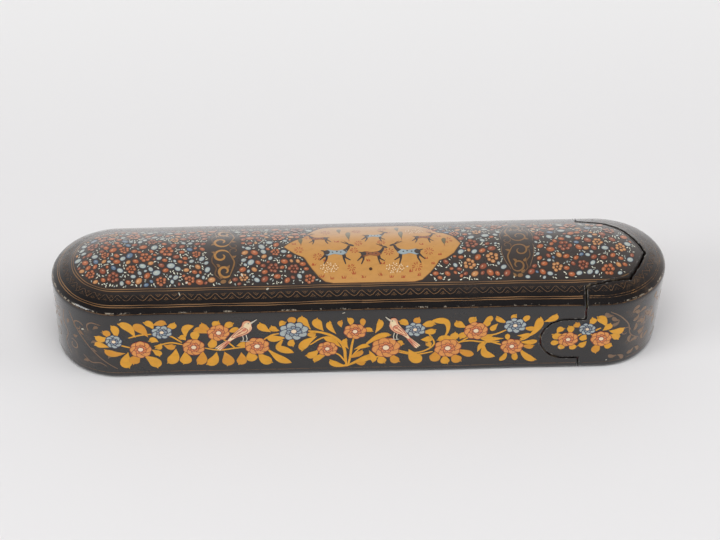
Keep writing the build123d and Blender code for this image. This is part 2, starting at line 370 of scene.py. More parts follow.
def side_line(kerf):
    """The cut seen from the side, from below the box to above it."""
    foot, head, radius = CUT_FOOT_X - kerf, CUT_X - kerf, SIDE_TONGUE_RADIUS + kerf
    tongue = [(SIDE_TONGUE[0] - radius * sin(a), SIDE_TONGUE[1] - radius * cos(a))
              for a in np.linspace(0, pi, 25)]
    below, low = (foot, -1.0), (foot, SIDE_TONGUE[1] - radius)
    high, above = (head, SIDE_TONGUE[1] + radius), (head, HEIGHT)
    path = line((foot, -FAR), below, FAR) + line(below, low, SAW_STEP)[1:]
    path += line(low, tongue[0], SAW_STEP)[1:] + tongue[1:]
    path += line(tongue[-1], high, SAW_STEP)[1:] + line(high, above, SAW_STEP)[1:]
    return [saw_wander(p) for p in path] + [(head, FAR + HEIGHT)]


def tongue_line(kerf):
    """The pointed tongue seen from above, from its front root to its back root."""
    front, flank, back = (smooth_path(run, SAW_STEP)
                          for run in (TOP_TONGUE[:3], TOP_TONGUE[2:5], TOP_TONGUE[4:]))
    path = np.array([saw_wander(p) for p in front + flank[1:] + back[1:]])
    shrunk = []
    for before, (u, v), after in zip([path[0]] + list(path), path, list(path[1:]) + [path[-1]]):
        du, dv = after[0] - before[0], after[1] - before[1]
        size = hypot(du, dv)
        gap = kerf
        if kerf > 0:
            gap *= 1 + TIP_GAPE * min(1.0, max(0.0, (u - GAPE_X) / GAPE_RUN))
        spot = (u - gap * dv / size, v + gap * du / size)
        if distance_to(path, np.array(spot)) >= 0.97 * abs(gap) - 0.001:
            shrunk.append(spot)
    return shrunk


def prism(name, outline, place, low, high):
    """A closed block with the outline given, from low to high across it."""
    count = len(outline)
    points = [place(u, v, w) for w in (low, high) for u, v in outline]
    faces = [tuple(range(count)), tuple(range(count, 2 * count))]
    faces += [(k, (k + 1) % count, (k + 1) % count + count, k + count) for k in range(count)]
    return shown(name, plain_mesh(name, points, faces))


def carve(piece, tool, operation):
    cut = piece.modifiers.new("cut", "BOOLEAN")
    cut.operation = operation
    cut.object = tool
    cut.solver = "EXACT"
    cut.material_mode = "TRANSFER"
    return settled(piece)


def cap_zone(name, kerf):
    """The space that belongs to the end cap, grown by the kerf towards the sleeve."""
    outline = side_line(kerf) + [(FAR + CUT_X, FAR + HEIGHT), (FAR + CUT_X, -FAR)]
    zone = prism(name, outline, lambda u, v, w: (u, w, v), -FAR, FAR)
    root = CUT_X - 3 * WALL
    path = tongue_line(kerf)
    outline = [(root, path[0][1])] + path + [(root, path[-1][1])]
    tongue = prism("tongue", outline, lambda u, v, w: (u, v, w), TONGUE_FLOOR_Z, 2 * FAR)
    carve(zone, tongue, "DIFFERENCE")
    bpy.data.objects.remove(tongue)
    return zone


def raw_edge():
    """Sawn paper pulp, painted near black with a little brown in it."""
    finish = Finish("sawn_pulp", Roughness=0.85)
    tone = finish.noise(900.0, 3.0)
    return finish.wear(Base_Color=finish.mixed(tone, rgb(14, 11, 10), rgb(44, 34, 26)))


def lacquer():
    """Black lacquer, hazed by age, worn back to the pulp along the cut and the arris, with a
    painted reflection that turns the high crown of the top lighter grey.
    """
    finish = Finish("black_lacquer", Coat_Weight=0.86, Coat_Roughness=0.09, Sheen_Weight=0.10,
                    Sheen_Roughness=0.35, Specular_IOR_Level=0.22)
    cloud = finish.noise(38.0, 3.0)
    grain = finish.noise(900.0, 3.0, 0.6)
    fray = finish.noise(1500.0, 2.0)
    edge = finish.attribute("edge_mm")
    worn = finish.step(edge + fray * 0.5, 0.52, 0.22)
    worn = worn * finish.step(finish.noise(190.0), 0.50, 0.64)
    rubbed = finish.step(finish.attribute("arris_mm") + fray * 0.5, 0.62, 0.34)
    ends = finish.step(finish.attribute("end_mm"), 92.0, 106.0)
    rubbed = rubbed * finish.step(finish.noise(330.0, 3.0, 0.7) + ends * 0.06, 0.56, 0.64)
    dust = finish.step(finish.noise(2600.0, 1.0), 0.68, 0.76) * finish.step(cloud, 0.45, 0.7)
    scuff = finish.step(finish.noise(55.0, 5.0, 0.7), 0.52, 0.72)
    scuff = scuff * finish.step(finish.attribute("end_mm"), 96.0, 112.0)
    handled = finish.step(finish.noise(90.0, 6.0, 0.75), 0.44, 0.62)
    handled = handled * finish.step(finish.attribute("handled"), 0.1, 0.9)
    ground = finish.mixed(cloud, rgb(20, 19, 21), rgb(32, 28, 27))
    ground = finish.mixed(scuff * 0.42, ground, rgb(108, 86, 66))
    ground = finish.mixed(handled * 0.66, ground, rgb(132, 98, 70))
    # Painted reflection: above this height the top is painted lighter grey, as if it mirrored the
    # bright room behind.
    crown = finish.step(finish.node("SeparateXYZ", {0: finish.spot()}, output=2), 0.0400, 0.0462)
    ground = finish.mixed(crown * 0.75, ground, rgb(72, 65, 62))
    ground = finish.mixed(dust * 0.25, ground, rgb(150, 140, 128))
    ground = finish.mixed(worn * 0.5, ground, rgb(164, 144, 116))
    ground = finish.mixed(rubbed * 0.55, ground, rgb(196, 184, 164))
    rough = 0.16 + grain * 0.10 + finish.step(cloud, 0.4, 0.75) * 0.10 + worn * 0.3
    relief = finish.noise(160.0, 2.0) * 0.6 + grain * 0.10 - worn * 0.25 - rubbed * 0.3
    normal = finish.bump(relief, 0.00010, 0.25)
    return finish.wear(Base_Color=ground, Roughness=rough, Normal=normal)


def bore_finish():
    """The inside of the shell: one thin coat of dark red-brown size over rough pulp."""
    finish = Finish("bore_size", Roughness=0.6)
    tone = finish.noise(240.0, 4.0)
    normal = finish.bump(finish.noise(700.0, 3.0), 0.0002, 0.5)
    size = finish.mixed(tone, rgb(62, 38, 28), rgb(104, 62, 42))
    return finish.wear(Base_Color=size, Normal=normal)


LACQUER, BORE_FINISH, SAWN_PULP = lacquer(), bore_finish(), raw_edge()
SHELL_FINISHES = (LACQUER, BORE_FINISH, SAWN_PULP)


def whole_shell(name):
    """The casing before it is sawn: the outer face, made by hand, and the bore inside it."""
    points, faces = around(casing_section(0.0, BASE_RADIUS, 1.2))
    outside = shown(name, plain_mesh(name, [hand_made(*p) for p in points], faces),
                    *SHELL_FINISHES)
    points, faces = around(casing_section(WALL, BORE_RADIUS, 2.4), step=2.5)
    inside = plain_mesh("bore", points, faces, inside_out=True)
    for face in inside.polygons:
        face.material_index = 1
    work = bmesh.new()
    work.from_mesh(outside.data)
    work.from_mesh(inside)
    work.to_mesh(outside.data)
    work.free()
    return outside


NO_CUT_NEAR = 9.0  # stands for any distance from the cut at which the lacquer is whole
ARRIS_Z = SHOULDER_CENTRE[1] + 0.55 * SHOULDER_RADIUS
HANDLED = (127.0, 21.0)  # where fingers have rubbed the cap's end brown
HANDLED_REACH = 19.0


def note_edges(piece):
    """Stores each point's distance from the saw cut, the upper arris and the box's middle,
    and how much of the lacquer's black fingers have rubbed off there."""
    side = np.array(side_line(KERF / 2))
    tongue = np.array(tongue_line(KERF / 2))
    notes = {"edge_mm": [], "arris_mm": [], "end_mm": [], "handled": []}
    for vertex in piece.data.vertices:
        x, y, z = (c / MM for c in vertex.co)
        gap = NO_CUT_NEAR
        if x > CUT_X - 25:
            if z > TONGUE_FLOOR_Z and x > CUT_X - 1 and abs(y) < TONGUE_SPREAD:
                gap = distance_to(tongue, np.array((x, y)))
            else:
                gap = distance_to(side, np.array((x, z)))
        notes["edge_mm"].append(max(0.0, gap - KERF / 2))
        notes["end_mm"].append(abs(x))
        notes["arris_mm"].append(abs(z - ARRIS_Z))
        away = hypot(x - HANDLED[0], (z - HANDLED[1]) / 1.3) / HANDLED_REACH
        notes["handled"].append(max(0.0, 1 - away))
    for key, values in notes.items():
        piece.data.attributes.new(key, "FLOAT", "POINT").data.foreach_set("value", values)


def sawn_shell(name, kerf, operation):
    """The shell without the cap's zone, or only what lies in it. The sawn faces stay bare,
    and there are creases only along them."""
    zone = cap_zone("zone", kerf)
    zone.data.materials.append(SAWN_PULP)
    piece = carve(whole_shell(name), zone, operation)
    bpy.data.objects.remove(zone)
    piece.data.materials.clear()
    for material in SHELL_FINISHES:
        piece.data.materials.append(material)
    piece.data.shade_smooth()
    piece.data.set_sharp_from_angle(angle=radians(CREASE))
    note_edges(piece)
    return piece


# Sleeve casing: the long piece of papier-mache, closed at its round left end. The tray
# slides in at its right end, under the pointed tongue.
sleeve_casing = sawn_shell("sleeve_shell", KERF, "DIFFERENCE")
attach(sleeve_casing, "sleeve")
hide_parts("sleeve_casing")

# End cap: the short piece of the same shell, with a round tongue on each wall. It is glued
# to the tray and is what the hand pulls.
end_cap = sawn_shell("cap_shell", 0.0, "INTERSECT")
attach(end_cap, "tray")
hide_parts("end_cap")

# Painting. The colours were laid on the black ground with fine brushes and sealed under clear
# lacquer. Each stroke is a thin skin of paint, and lines that cross the saw cut stop at it.
COAT = 0.012  # how much each layer of paint stands above the one under it
CUT_MARGIN = 0.15  # how far the paint stays back from the edges of the cut


def inside(outline, u, v):
    """Whether a point lies inside a closed outline."""
    hit = False
    for (u0, v0), (u1, v1) in zip(outline, outline[1:] + outline[:1]):
        if (v0 > v) != (v1 > v) and u < u0 + (v - v0) / (v1 - v0) * (u1 - u0):
            hit = not hit
    return hit


def tongue_area(back, front_y=TOP_TONGUE[0][1], back_y=TOP_TONGUE[-1][1]):
    """The pointed tongue as an area, this far back from its sawn edge, with its root."""
    return [(CUT_X - 6, front_y)] + tongue_line(back) + [(CUT_X - 6, back_y)]


SLEEVE_TONGUE = tongue_area(KERF + CUT_MARGIN)
CAP_HOLLOW = tongue_area(-CUT_MARGIN)


def owner(x, y, z):
    """The body that carries a point of the shell: the sleeve, the tray's cap or neither."""
    if z > TONGUE_FLOOR_Z and x > CUT_X - 1 and abs(y) < TONGUE_SPREAD + 1:
        if inside(SLEEVE_TONGUE, x, y):
            return "sleeve"
        if x > CUT_X + CUT_MARGIN and not inside(CAP_HOLLOW, x, y):
            return "tray"
        return None
    rise = abs(z - SIDE_TONGUE[1])
    cut = CUT_X if z > SIDE_TONGUE[1] else CUT_FOOT_X
    if rise < SIDE_TONGUE_RADIUS:
        cut = SIDE_TONGUE[0] - sqrt(SIDE_TONGUE_RADIUS**2 - rise**2)
    if x > cut + CUT_MARGIN:
        return "tray"
    return "sleeve" if x < cut - KERF - CUT_MARGIN else None


def laid(x, y, z, dx, dy, slope, lift):
    """A point on the hand-made shell, lifted squarely off a face that leans by the slope."""
    x, y, z = hand_made(x, y, z)
    out = sin(slope) * lift
    return x + dx * out, y + dy * out, z + cos(slope) * lift


def on_wall(s, z, lift):
    """A point on the side wall, s mm round from the middle of the front and z mm up."""
    x, dx, dy = heading(s)
    rise = (z - SHOULDER_CENTRE[1]) / SHOULDER_RADIUS
    if rise > cos(radians(90 - DRAFT)):
        reach = SHOULDER_CENTRE[0] + SHOULDER_RADIUS * sqrt(max(0.0, 1 - rise**2))
        slope = np.arccos(min(1.0, rise))
    else:
        reach, slope = wall_at(0.0, z), radians(90 + DRAFT)
    return laid(x + dx * reach, dy * reach, z, dx, dy, slope, lift)


def on_far_wall(s, z, lift):
    """The same place on the wall at the back, mirrored."""
    return on_wall(LOOP / 2 - s, z, lift)


def on_band(s, r, lift):
    """A point of the top, s mm round and r mm out from the centre line."""
    x, dx, dy = heading(s)
    return laid(x + dx * r, dy * r, top_z(r), dx, dy, top_slope(r), lift)


def on_dome(x, y, lift):
    """A point of the top seen from above."""
    middle = min(END_X, max(-END_X, x))
    r = hypot(x - middle, y)
    dx, dy = ((x - middle) / r, y / r) if r > 1e-6 else (0.0, -1.0)
    return laid(x, y, top_z(r), dx, dy, top_slope(r), lift)


class Painting:
    """Brush strokes on one face. Each point has a tint, a rim colour and a shade between."""

    def __init__(self, place):
        self.place = place
        self.points, self.outward, self.faces = [], [], []
        self.tints, self.rims, self.shades = [], [], []

    def dot(self, u, v, layer, colours, shade):
        foot = np.array(self.place(u, v, layer * COAT))
        self.points.append(foot)
        self.outward.append(np.array(self.place(u, v, layer * COAT + 1)) - foot)
        self.tints.append(colours[0])
        self.rims.append(colours[1])
        self.shades.append(shade)
        return len(self.points) - 1

    def ribbon(self, path, widths, colours, layer=1, edge=0.35, middle=0.7):
        """A stroke along a path with a width at each of its points."""
        path = [np.array(p, dtype=float) for p in path]
        rows = []
        for k, point in enumerate(path):
            along = path[min(k + 1, len(path) - 1)] - path[max(k - 1, 0)]
            along /= max(1e-9, np.linalg.norm(along))
            side = np.array((-along[1], along[0])) * widths[k] / 2
            rows.append([self.dot(*(point + side), layer, colours, edge),
                         self.dot(*point, layer, colours, middle),
                         self.dot(*(point - side), layer, colours, edge)])
        for a, b in zip(rows, rows[1:]):
            self.faces += [(a[0], b[0], b[1], a[1]), (a[1], b[1], b[2], a[2])]

    def stroke(self, points, width, colours, layer=1, step=0.7, taper=0.35):
        """A smooth line through the points, thinner at its ends."""
        path = smooth_path(points, step)
        share = np.linspace(0, 1, len(path))
        self.ribbon(path, [width * (taper + (1 - taper) * sin(pi * t) ** 0.5) for t in share],
                    colours, layer)

    def blob(self, outline, colours, layer, edge=0.3, middle=0.8):
        """A filled shape round its own middle."""
        outline = [np.array(p, dtype=float) for p in outline]
        centre = sum(outline) / len(outline)
        rings = [[self.dot(*(centre + (p - centre) * share), layer, colours, shade)
                  for p in outline] for share, shade in ((1.0, edge), (0.6, middle))]
        heart = self.dot(*centre, layer, colours, middle)
        for k in range(len(outline)):
            m = (k + 1) % len(outline)
            self.faces += [(rings[0][k], rings[0][m], rings[1][m], rings[1][k]),
                           (rings[1][k], rings[1][m], heart)]

    def oval(self, u, v, length, width, turn, colours, layer=1, edge=0.3, middle=0.8, sides=10):
        ring = [(length / 2 * cos(a), width / 2 * sin(a))
                for a in np.linspace(0, 2 * pi, sides, endpoint=False)]
        c, s = cos(turn), sin(turn)
        self.blob([(u + c * a - s * b, v + s * a + c * b) for a, b in ring], colours, layer,
                  edge, middle)

    def leaf(self, base, tip, colours, fullness, bow=0.15, layer=1, hook=0.0):
        """A plump leaf, widest near its round end, with a small hook at the tip."""
        base, tip = np.array(base, dtype=float), np.array(tip, dtype=float)
        along = tip - base
        length = np.linalg.norm(along)
        side = np.array((-along[1], along[0])) * bow
        share = [0.5 - 0.5 * cos(pi * k / 12) for k in range(13)]
        path = [base + along * t + side * sin(pi * t**1.2) for t in share]
        width = fullness * (2.3 + 0.15 * length)
        self.ribbon(path, [width * sin(pi * min(1.0, t) ** 1.9) ** 0.55 + 0.02 for t in share],
                    colours, layer)
        if hook:
            ahead = along / length
            across = np.array((-ahead[1], ahead[0])) * hook
            self.ribbon([tip - ahead * 1.2 + across, tip - ahead * 0.2 + across,
                         tip + ahead * 0.35 + across * 1.5], [1.0, 0.75, 0.2], colours, layer)

    def mesh(self, name):
        faces = []
        for face in self.faces:
            a, b, c = (self.points[k] for k in face[:3])
            up = np.dot(np.cross(b - a, c - a), self.outward[face[0]]) >= 0
            faces.append(face if up else face[::-1])
        mesh = plain_mesh(name, self.points, faces, welded=False)
        for key, values in (("tint", self.tints), ("rim", self.rims)):
            layer = mesh.attributes.new(key, "FLOAT_COLOR", "POINT")
            layer.data.foreach_set("color", np.array(values, dtype=np.float32).ravel())
        shade = mesh.attributes.new("shade", "FLOAT", "POINT")
        shade.data.foreach_set("value", np.array(self.shades, dtype=np.float32))
        return mesh


def shared_out(name, mesh, material, cap_material=None):
    """Two pieces from one painted mesh: what lies on the sleeve and what lies on the cap.

    Where the cap is more worn, its piece has a finish of its own.
    """
    for body in ("sleeve", "tray"):
        work = bmesh.new()
        work.from_mesh(mesh)
        mine = {v.index: owner(*(c / MM for c in v.co)) == body for v in work.verts}
        others = [f for f in work.faces if not all(mine[v.index] for v in f.verts)]
        bmesh.ops.delete(work, geom=others, context="FACES")
        if work.faces:
            part = bpy.data.meshes.new(name)
            work.to_mesh(part)
            part.shade_smooth()
            part.materials.clear()
            paint = cap_material if cap_material and body == "tray" else material
            piece = shown(f"{name}_on_{'cap' if body == 'tray' else body}", part, paint)
            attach(piece, body)
        work.free()
    bpy.data.meshes.remove(mesh)


def paint_finish(name, wear=0.0, coat=0.3, painted_back_glare=0.0):
    """Body colour under clear lacquer, uneven as a brush leaves it, rubbed away by wear, and where
    asked lightened on the back half of the top by a painted reflection.
    """
    finish = Finish(name, Coat_Weight=coat, Coat_Roughness=0.12)
    shade = finish.attribute("shade")
    colour = finish.mixed(finish.step(shade, 0.05, 0.55), finish.attribute("rim", "Color"),
                          finish.attribute("tint", "Color"))
    colour = finish.mixed(finish.step(shade, 0.78, 1.0) * 0.45, colour, rgb(250, 232, 200))
    brushed = finish.noise(300.0, 3.0, 0.6, (1.0, 1.6, 1.6))
    colour = finish.mixed(finish.step(brushed, 0.42, 0.70) * 0.12, colour, rgb(120, 74, 30))
    worn = finish.noise(700.0, 4.0, 0.65)
    away = finish.step(worn, 0.70 - 0.34 * wear, 0.74 - 0.24 * wear)
    colour = finish.mixed(away * 0.85, colour, rgb(34, 28, 25))
    if painted_back_glare:
        # Painted reflection: paint on the back half of the top is lightened towards pale grey, as
        # the bright room behind would mirror there.
        back = finish.node("SeparateXYZ", {0: finish.spot()}, output=1)
        colour = finish.mixed(finish.step(back, 0.002, 0.019) * painted_back_glare, colour, rgb(206, 194, 184))
    normal = finish.bump(brushed * 0.6 + finish.noise(1200.0, 2.0) * 0.3, 0.00006, 0.4)
    return finish.wear(Base_Color=colour, Roughness=0.26 + brushed * 0.12, Normal=normal)


PAINT = paint_finish("brush_paint")
FADED_PAINT = paint_finish("faded_paint", wear=0.22)
RUBBED_PAINT = paint_finish("rubbed_paint", wear=0.55)
FAINT_PAINT = paint_finish("faint_paint", wear=0.95)
TOP_PAINT = paint_finish("top_paint", coat=0.7, painted_back_glare=0.26)
GOLDEN_BRONZE = (rgb(172, 124, 66), rgb(122, 84, 46))
BRONZE = (rgb(132, 96, 58), rgb(88, 64, 42))
WAVE_BRONZE = (rgb(126, 90, 54), rgb(88, 62, 38))
DULL_BRONZE = (rgb(100, 74, 50), rgb(66, 48, 34))
FADED_BRONZE = (rgb(118, 88, 60), rgb(84, 62, 44))
DARK_BRONZE = (rgb(126, 98, 72), rgb(96, 76, 58))

# Borders. Pairs of bronze lines run round the top, with a wavy line and small hooks between
# them. They are painted in one round, and handling has rubbed them faint on the cap.
BORDER_LINES = (19.9, 20.8, 26.5, 27.3)  # how far out from the centre line
WAVE_MIDDLE = 23.5
WAVE_HEIGHT = 2.9
WAVE_LENGTH = 7.0
SIDE_LINES = (37.6, 3.2)  # how far up the walls


def once_round(count):
    """Places all the way round the box, the last one on the first."""
    return [k * LOOP / count for k in range(count + 1)]


def border_lines():
    painting = Painting(on_band)
    rounds = once_round(440)
    for r in BORDER_LINES:
        shaky = [(s, r + 0.06 * sin(s / 7.0 + r) + 0.04 * sin(s / 2.3)) for s in rounds]
        painting.ribbon(shaky, [0.25 + 0.09 * sin(s / 5.0 + r) for s in rounds], BRONZE)
    shared_out("border_lines", painting.mesh("border_lines"), TOP_PAINT, FAINT_PAINT)
    painting = Painting(on_wall)
    for z in SIDE_LINES:
        painting.ribbon([(s, z + 0.08 * sin(s / 9.0)) for s in rounds],
                        [0.30 + 0.12 * sin(s / 6.0) for s in rounds], DULL_BRONZE)
    shared_out("side_lines", painting.mesh("side_lines"), RUBBED_PAINT)


class Nodes:
    """A Geometry Nodes tree that is written as calls, with its inputs named."""

    def __init__(self, name, **inputs):
        self.tree = bpy.data.node_groups.new(name, "GeometryNodeTree")
        for label, kind in {"Geometry": "Geometry", **inputs}.items():
            self.tree.interface.new_socket(label, in_out="INPUT", socket_type="NodeSocket" + kind)
        self.tree.interface.new_socket("Geometry", in_out="OUTPUT",
                                       socket_type="NodeSocketGeometry")
        self.group = self.tree.nodes.new("NodeGroupInput")

    def given(self, label):
        return self.group.outputs[label]

    def node(self, kind, inputs, output=0, **settings):
        node = self.tree.nodes.new(kind)
        for key, value in settings.items():
            setattr(node, key, value)
        for key, value in inputs.items():
            if isinstance(value, bpy.types.NodeSocket):
                self.tree.links.new(value, node.inputs[key])
            else:
                node.inputs[key].default_value = value
        return node.outputs[output]

    def attribute(self, name, kind):
        return self.node("GeometryNodeInputNamedAttribute", {"Name": name}, data_type=kind)

    def result(self, geometry):
        end = self.tree.nodes.new("NodeGroupOutput")
        self.tree.links.new(geometry, end.inputs[0])

    def run(self, piece, **values):
        """Runs the tree on a piece and keeps the result as its plain mesh."""
        modifier = piece.modifiers.new("nodes", "NODES")
        modifier.node_group = self.tree
        for socket in self.tree.interface.items_tree:
            if socket.in_out == "INPUT" and socket.name in values:
                modifier[socket.identifier] = values[socket.name]
        return settled(piece)


def repeated():
    """Lays one motif on each point, turned the way that the point says."""
    nodes = Nodes("motif_on_points", Motif="Object", Size="Float", Material="Material")
    motif = nodes.node("GeometryNodeObjectInfo", {"Object": nodes.given("Motif")}, "Geometry",
                       transform_space="ORIGINAL")
    turn = nodes.node("FunctionNodeAlignRotationToVector",
                      {"Vector": nodes.attribute("facing", "FLOAT_VECTOR")}, axis="Z")
    turn = nodes.node("FunctionNodeAlignRotationToVector",
                      {"Rotation": turn, "Vector": nodes.attribute("along", "FLOAT_VECTOR")},
                      axis="X", pivot_axis="Z")
    size = nodes.node("ShaderNodeMath", {0: nodes.attribute("size", "FLOAT"),
                                         1: nodes.given("Size")}, operation="MULTIPLY")
    spread = nodes.node("GeometryNodeInstanceOnPoints",
                        {"Points": nodes.given("Geometry"), "Instance": motif,
                         "Rotation": turn, "Scale": size})
    real = nodes.node("GeometryNodeRealizeInstances", {"Geometry": spread})
    nodes.result(nodes.node("GeometryNodeSetMaterial",
                            {"Geometry": real, "Material": nodes.given("Material")}))
    return nodes


REPEATED = repeated()


def repeat_mesh(name, motif, places, material):
    """The motif at each place: (point finder, u, v, direction, size, colours)."""
    points = bpy.data.meshes.new(name)
    spots, facing, along, sizes, tints, rims = [], [], [], [], [], []
    for place, u, v, direction, size, colours in places:
        foot = np.array(place(u, v, COAT))
        spots.append(foot * MM)
        facing.append(np.array(place(u, v, COAT + 1)) - foot)
        ahead = np.array(place(u + 0.2 * cos(direction), v + 0.2 * sin(direction), COAT))
        along.append(ahead - foot)
        sizes.append(size)
        tints.append(colours[0])
        rims.append(colours[1])
    points.from_pydata(spots, [], [])
    for key, kind, field, values in (("facing", "FLOAT_VECTOR", "vector", facing),
                                     ("along", "FLOAT_VECTOR", "vector", along),
                                     ("size", "FLOAT", "value", sizes),
                                     ("tint", "FLOAT_COLOR", "color", tints),
                                     ("rim", "FLOAT_COLOR", "color", rims)):
        values = np.array(values, dtype=np.float32).ravel()
        points.attributes.new(key, kind, "POINT").data.foreach_set(field, values)
    piece = shown(name, points)
    REPEATED.run(piece, Motif=motif, Size=1.0, Material=material)
    mesh = piece.data
    bpy.data.objects.remove(piece)
    return mesh


def repeat(figure, material, **lots):
    """Lays a figure at each lot of places, one painted piece a lot, and puts the figure away."""
    for name, places in lots.items():
        shared_out(name, repeat_mesh(name, figure, places, material), material)
    bpy.data.objects.remove(figure)


def motif(name, painting):
    """A small painted figure to be repeated. It carries only its shades."""
    mesh = painting.mesh(name)
    for key in ("tint", "rim"):
        mesh.attributes.remove(mesh.attributes[key])
    return shown(name, mesh)


def flat(u, v, lift):
    return u, v, lift


def wave_motif(sway):
    """One length of the wavy line with the hooks and dots in its two hollows."""
    painting = Painting(flat)
    half, high = WAVE_LENGTH / 2, WAVE_HEIGHT / 2
    wave = ((-1.0, -0.9, 0.17), (-0.62, -0.5, 0.24), (-0.16, 0.78, 0.18), (0.08, 0.85, 0.26),
            (0.52, -0.2, 0.18), (0.84, -0.82, 0.24), (1.0, -0.9, 0.17))
    painting.ribbon([(half * a, high * b) for a, b, _ in wave], [c for _, _, c in wave], BRONZE)
    painting.ribbon([(-1.25, -1.35), (-0.7, -1.05), (-0.05 + sway, -0.15), (0.55, -0.9),
                     (1.15, -1.25)], [0.10, 0.17, 0.20, 0.15, 0.10], BRONZE)
    painting.ribbon([(-0.45, -1.55), (sway, -0.95), (0.5, -1.5)], [0.12, 0.2, 0.1], BRONZE)
    for side in (-1, 1):
        painting.ribbon([(side * (half - 1.25), high * 0.98), (side * half * 0.98, 0.2)],
                        [0.10, 0.18], BRONZE)
        painting.ribbon([(side * (half - 0.6), high * 0.95), (side * half * 0.98, 0.95)],
                        [0.10, 0.16], BRONZE)
    return motif("wave_motif", painting)


def wave_border():
    """Lengths of the wavy line, two sorts by turns and the worn ones at the round ends."""
    count = round(LOOP / WAVE_LENGTH)
    rng = random.Random(11)
    lots = {"wave": [], "bent_wave": [], "worn_wave": []}
    for k in range(count):
        s = (k + 0.5) * LOOP / count - LOOP / 2
        x = heading(s)[0]
        colours = WAVE_BRONZE if abs(x + 30) < CUT_X - 30 else DULL_BRONZE
        spot = (on_band, s, WAVE_MIDDLE + rng.uniform(-0.15, 0.15), rng.uniform(-0.04, 0.04), 1.0,
                colours)
        lot = "worn_wave" if abs(x) > CUT_X - 4 else rng.choice(("wave", "bent_wave"))
        lots[lot].append(spot)
    repeat(wave_motif(-0.1), TOP_PAINT, wave=lots["wave"])
    repeat(wave_motif(0.3), TOP_PAINT, bent_wave=lots["bent_wave"])
    repeat(wave_motif(-0.1), RUBBED_PAINT, worn_wave=lots["worn_wave"])


border_lines()
wave_border()

# Flower ground of the top. Rosettes, berries and petals in rust, ochre and pale blue are
# dabbed close together on the black, and small white commas fill the gaps between them.
FIELD_REACH = 19.2
SCROLL_PLACES = ((-59.0, -1), (68.5, 1))  # middles of the two dark lenses, and their hands
SCROLL_HALF_WIDTH = 7.6
MEDALLION_HALF = [(-33.0, 0.0), (-30.8, -2.4), (-27.8, -4.9), (-24.6, -6.6), (-23.7, -7.9),
                  (-22.9, -9.6), (-20.9, -12.8), (-18.2, -16.4), (-15.4, -18.6), (-12.0, -19.3),
                  (23.0, -19.3), (26.4, -18.5), (30.2, -15.2), (33.2, -11.4), (34.2, -9.6),
                  (37.2, -8.6), (40.8, -5.8), (44.0, 0.0)]
MEDALLION = MEDALLION_HALF + [(x, -y) for x, y in MEDALLION_HALF[-2:0:-1]]
RUST = (rgb(172, 98, 60), rgb(96, 50, 34))
BRICK = (rgb(144, 80, 58), rgb(80, 42, 32))
ORANGE = (rgb(190, 136, 86), rgb(116, 68, 42))
PALE_BLUE = (rgb(166, 176, 172), rgb(38, 54, 80))
DEEP_BLUE = (rgb(98, 122, 144), rgb(26, 40, 72))
CHALK = (rgb(226, 226, 206), rgb(190, 190, 170))
DUSTY_CHALK = (rgb(176, 186, 180), rgb(130, 140, 140))


def scroll_zone(x, y, grown):
    """Whether a point lies in, or this near to, one of the dark lenses that cross the top."""
    bow = SCROLL_HALF_WIDTH * max(0.0, 1 - (abs(y) / 20.5) ** 2.4) + grown
    return any(abs(x - place) < bow for place, _ in SCROLL_PLACES)


TONGUE_FIELD = tongue_area(1.9, -19.4, 19.0)
MEDALLION_RIM = np.array(MEDALLION + MEDALLION[:1])
SMALLEST_BERRY = 0.5  # only the white commas need less room than this


def in_field(x, y, room):
    """Whether the flower ground covers a point, with this much room to its edges."""
    if hypot(max(0.0, abs(x) - END_X), y) > FIELD_REACH - room:
        return False
    if x > CUT_X - 3 and not inside(TONGUE_FIELD, x + room, y):
        return False
    if scroll_zone(x, y, room):
        return False
    thin = 0.12 if x > 20 else 0.45 if x > -48 else 0.86  # most gaps are near the right end
    if room < SMALLEST_BERRY:
        thin += 0.25
    if sin(0.55 * x + 1.1) * sin(0.8 * y + 0.4) > thin:
        return False
    if not MEDALLION[0][0] - 5 < x < MEDALLION_HALF[-1][0] + 5:
        return True
    near = distance_to(MEDALLION_RIM, np.array((x, y)))
    return not inside(MEDALLION, x, y) and near > room + 0.5


def scattered(rng, tries, room, gap, taken):
    """Seeded random places in the field that keep clear of each other and of those taken."""
    placed = []
    count = len(taken)
    known = np.zeros((count + tries, 3))
    known[:count] = np.array(taken).reshape(-1, 3)
    for _ in range(tries):
        x, y = rng.uniform(-END_X - FIELD_REACH, 126), rng.uniform(-FIELD_REACH, FIELD_REACH)
        size = room * rng.uniform(0.7, 1.2)
        seen = known[:count]
        if count and ((seen[:, 0] - x) ** 2 + (seen[:, 1] - y) ** 2
                      < (seen[:, 2] + size + gap) ** 2).any():
            continue
        if in_field(x, y, size * 0.8):
            placed.append((x, y, size))
            known[count] = x, y, size
            count += 1
    return placed


def berry_motif():
    painting = Painting(flat)
    painting.oval(0, 0, 2.0, 1.5, 0.0, RUST, edge=-0.1, middle=0.7, sides=12)
    painting.oval(-0.15, 0.14, 0.9, 0.42, 0.3, RUST, layer=2, edge=0.74, middle=0.92, sides=8)
    return motif("berry_motif", painting)


def rosette_motif():
    painting = Painting(flat)
    petals = ((1.16, 1.1), (1.06, 0.98), (1.2, 1.16), (1.1, 0.94), (1.18, 1.12), (1.08, 1.02))
    for k, (reach, size) in enumerate(petals):
        a = k * pi / 3 + 0.16 * sin(3 * k)
        x, y = reach * cos(a), reach * sin(a)
        painting.oval(x, y, 1.16 * size, 1.0 * size, a + 1.2, RUST, 1, 0.0, 0.66, sides=9)
        painting.oval(x - 0.08, y + 0.1, 0.5 * size, 0.3, a, RUST, 2, 0.76, 0.95, sides=6)
    painting.oval(0, 0, 0.86, 0.8, 0.0, RUST, 2, 0.0, 0.45, sides=8)
    return motif("rosette_motif", painting)


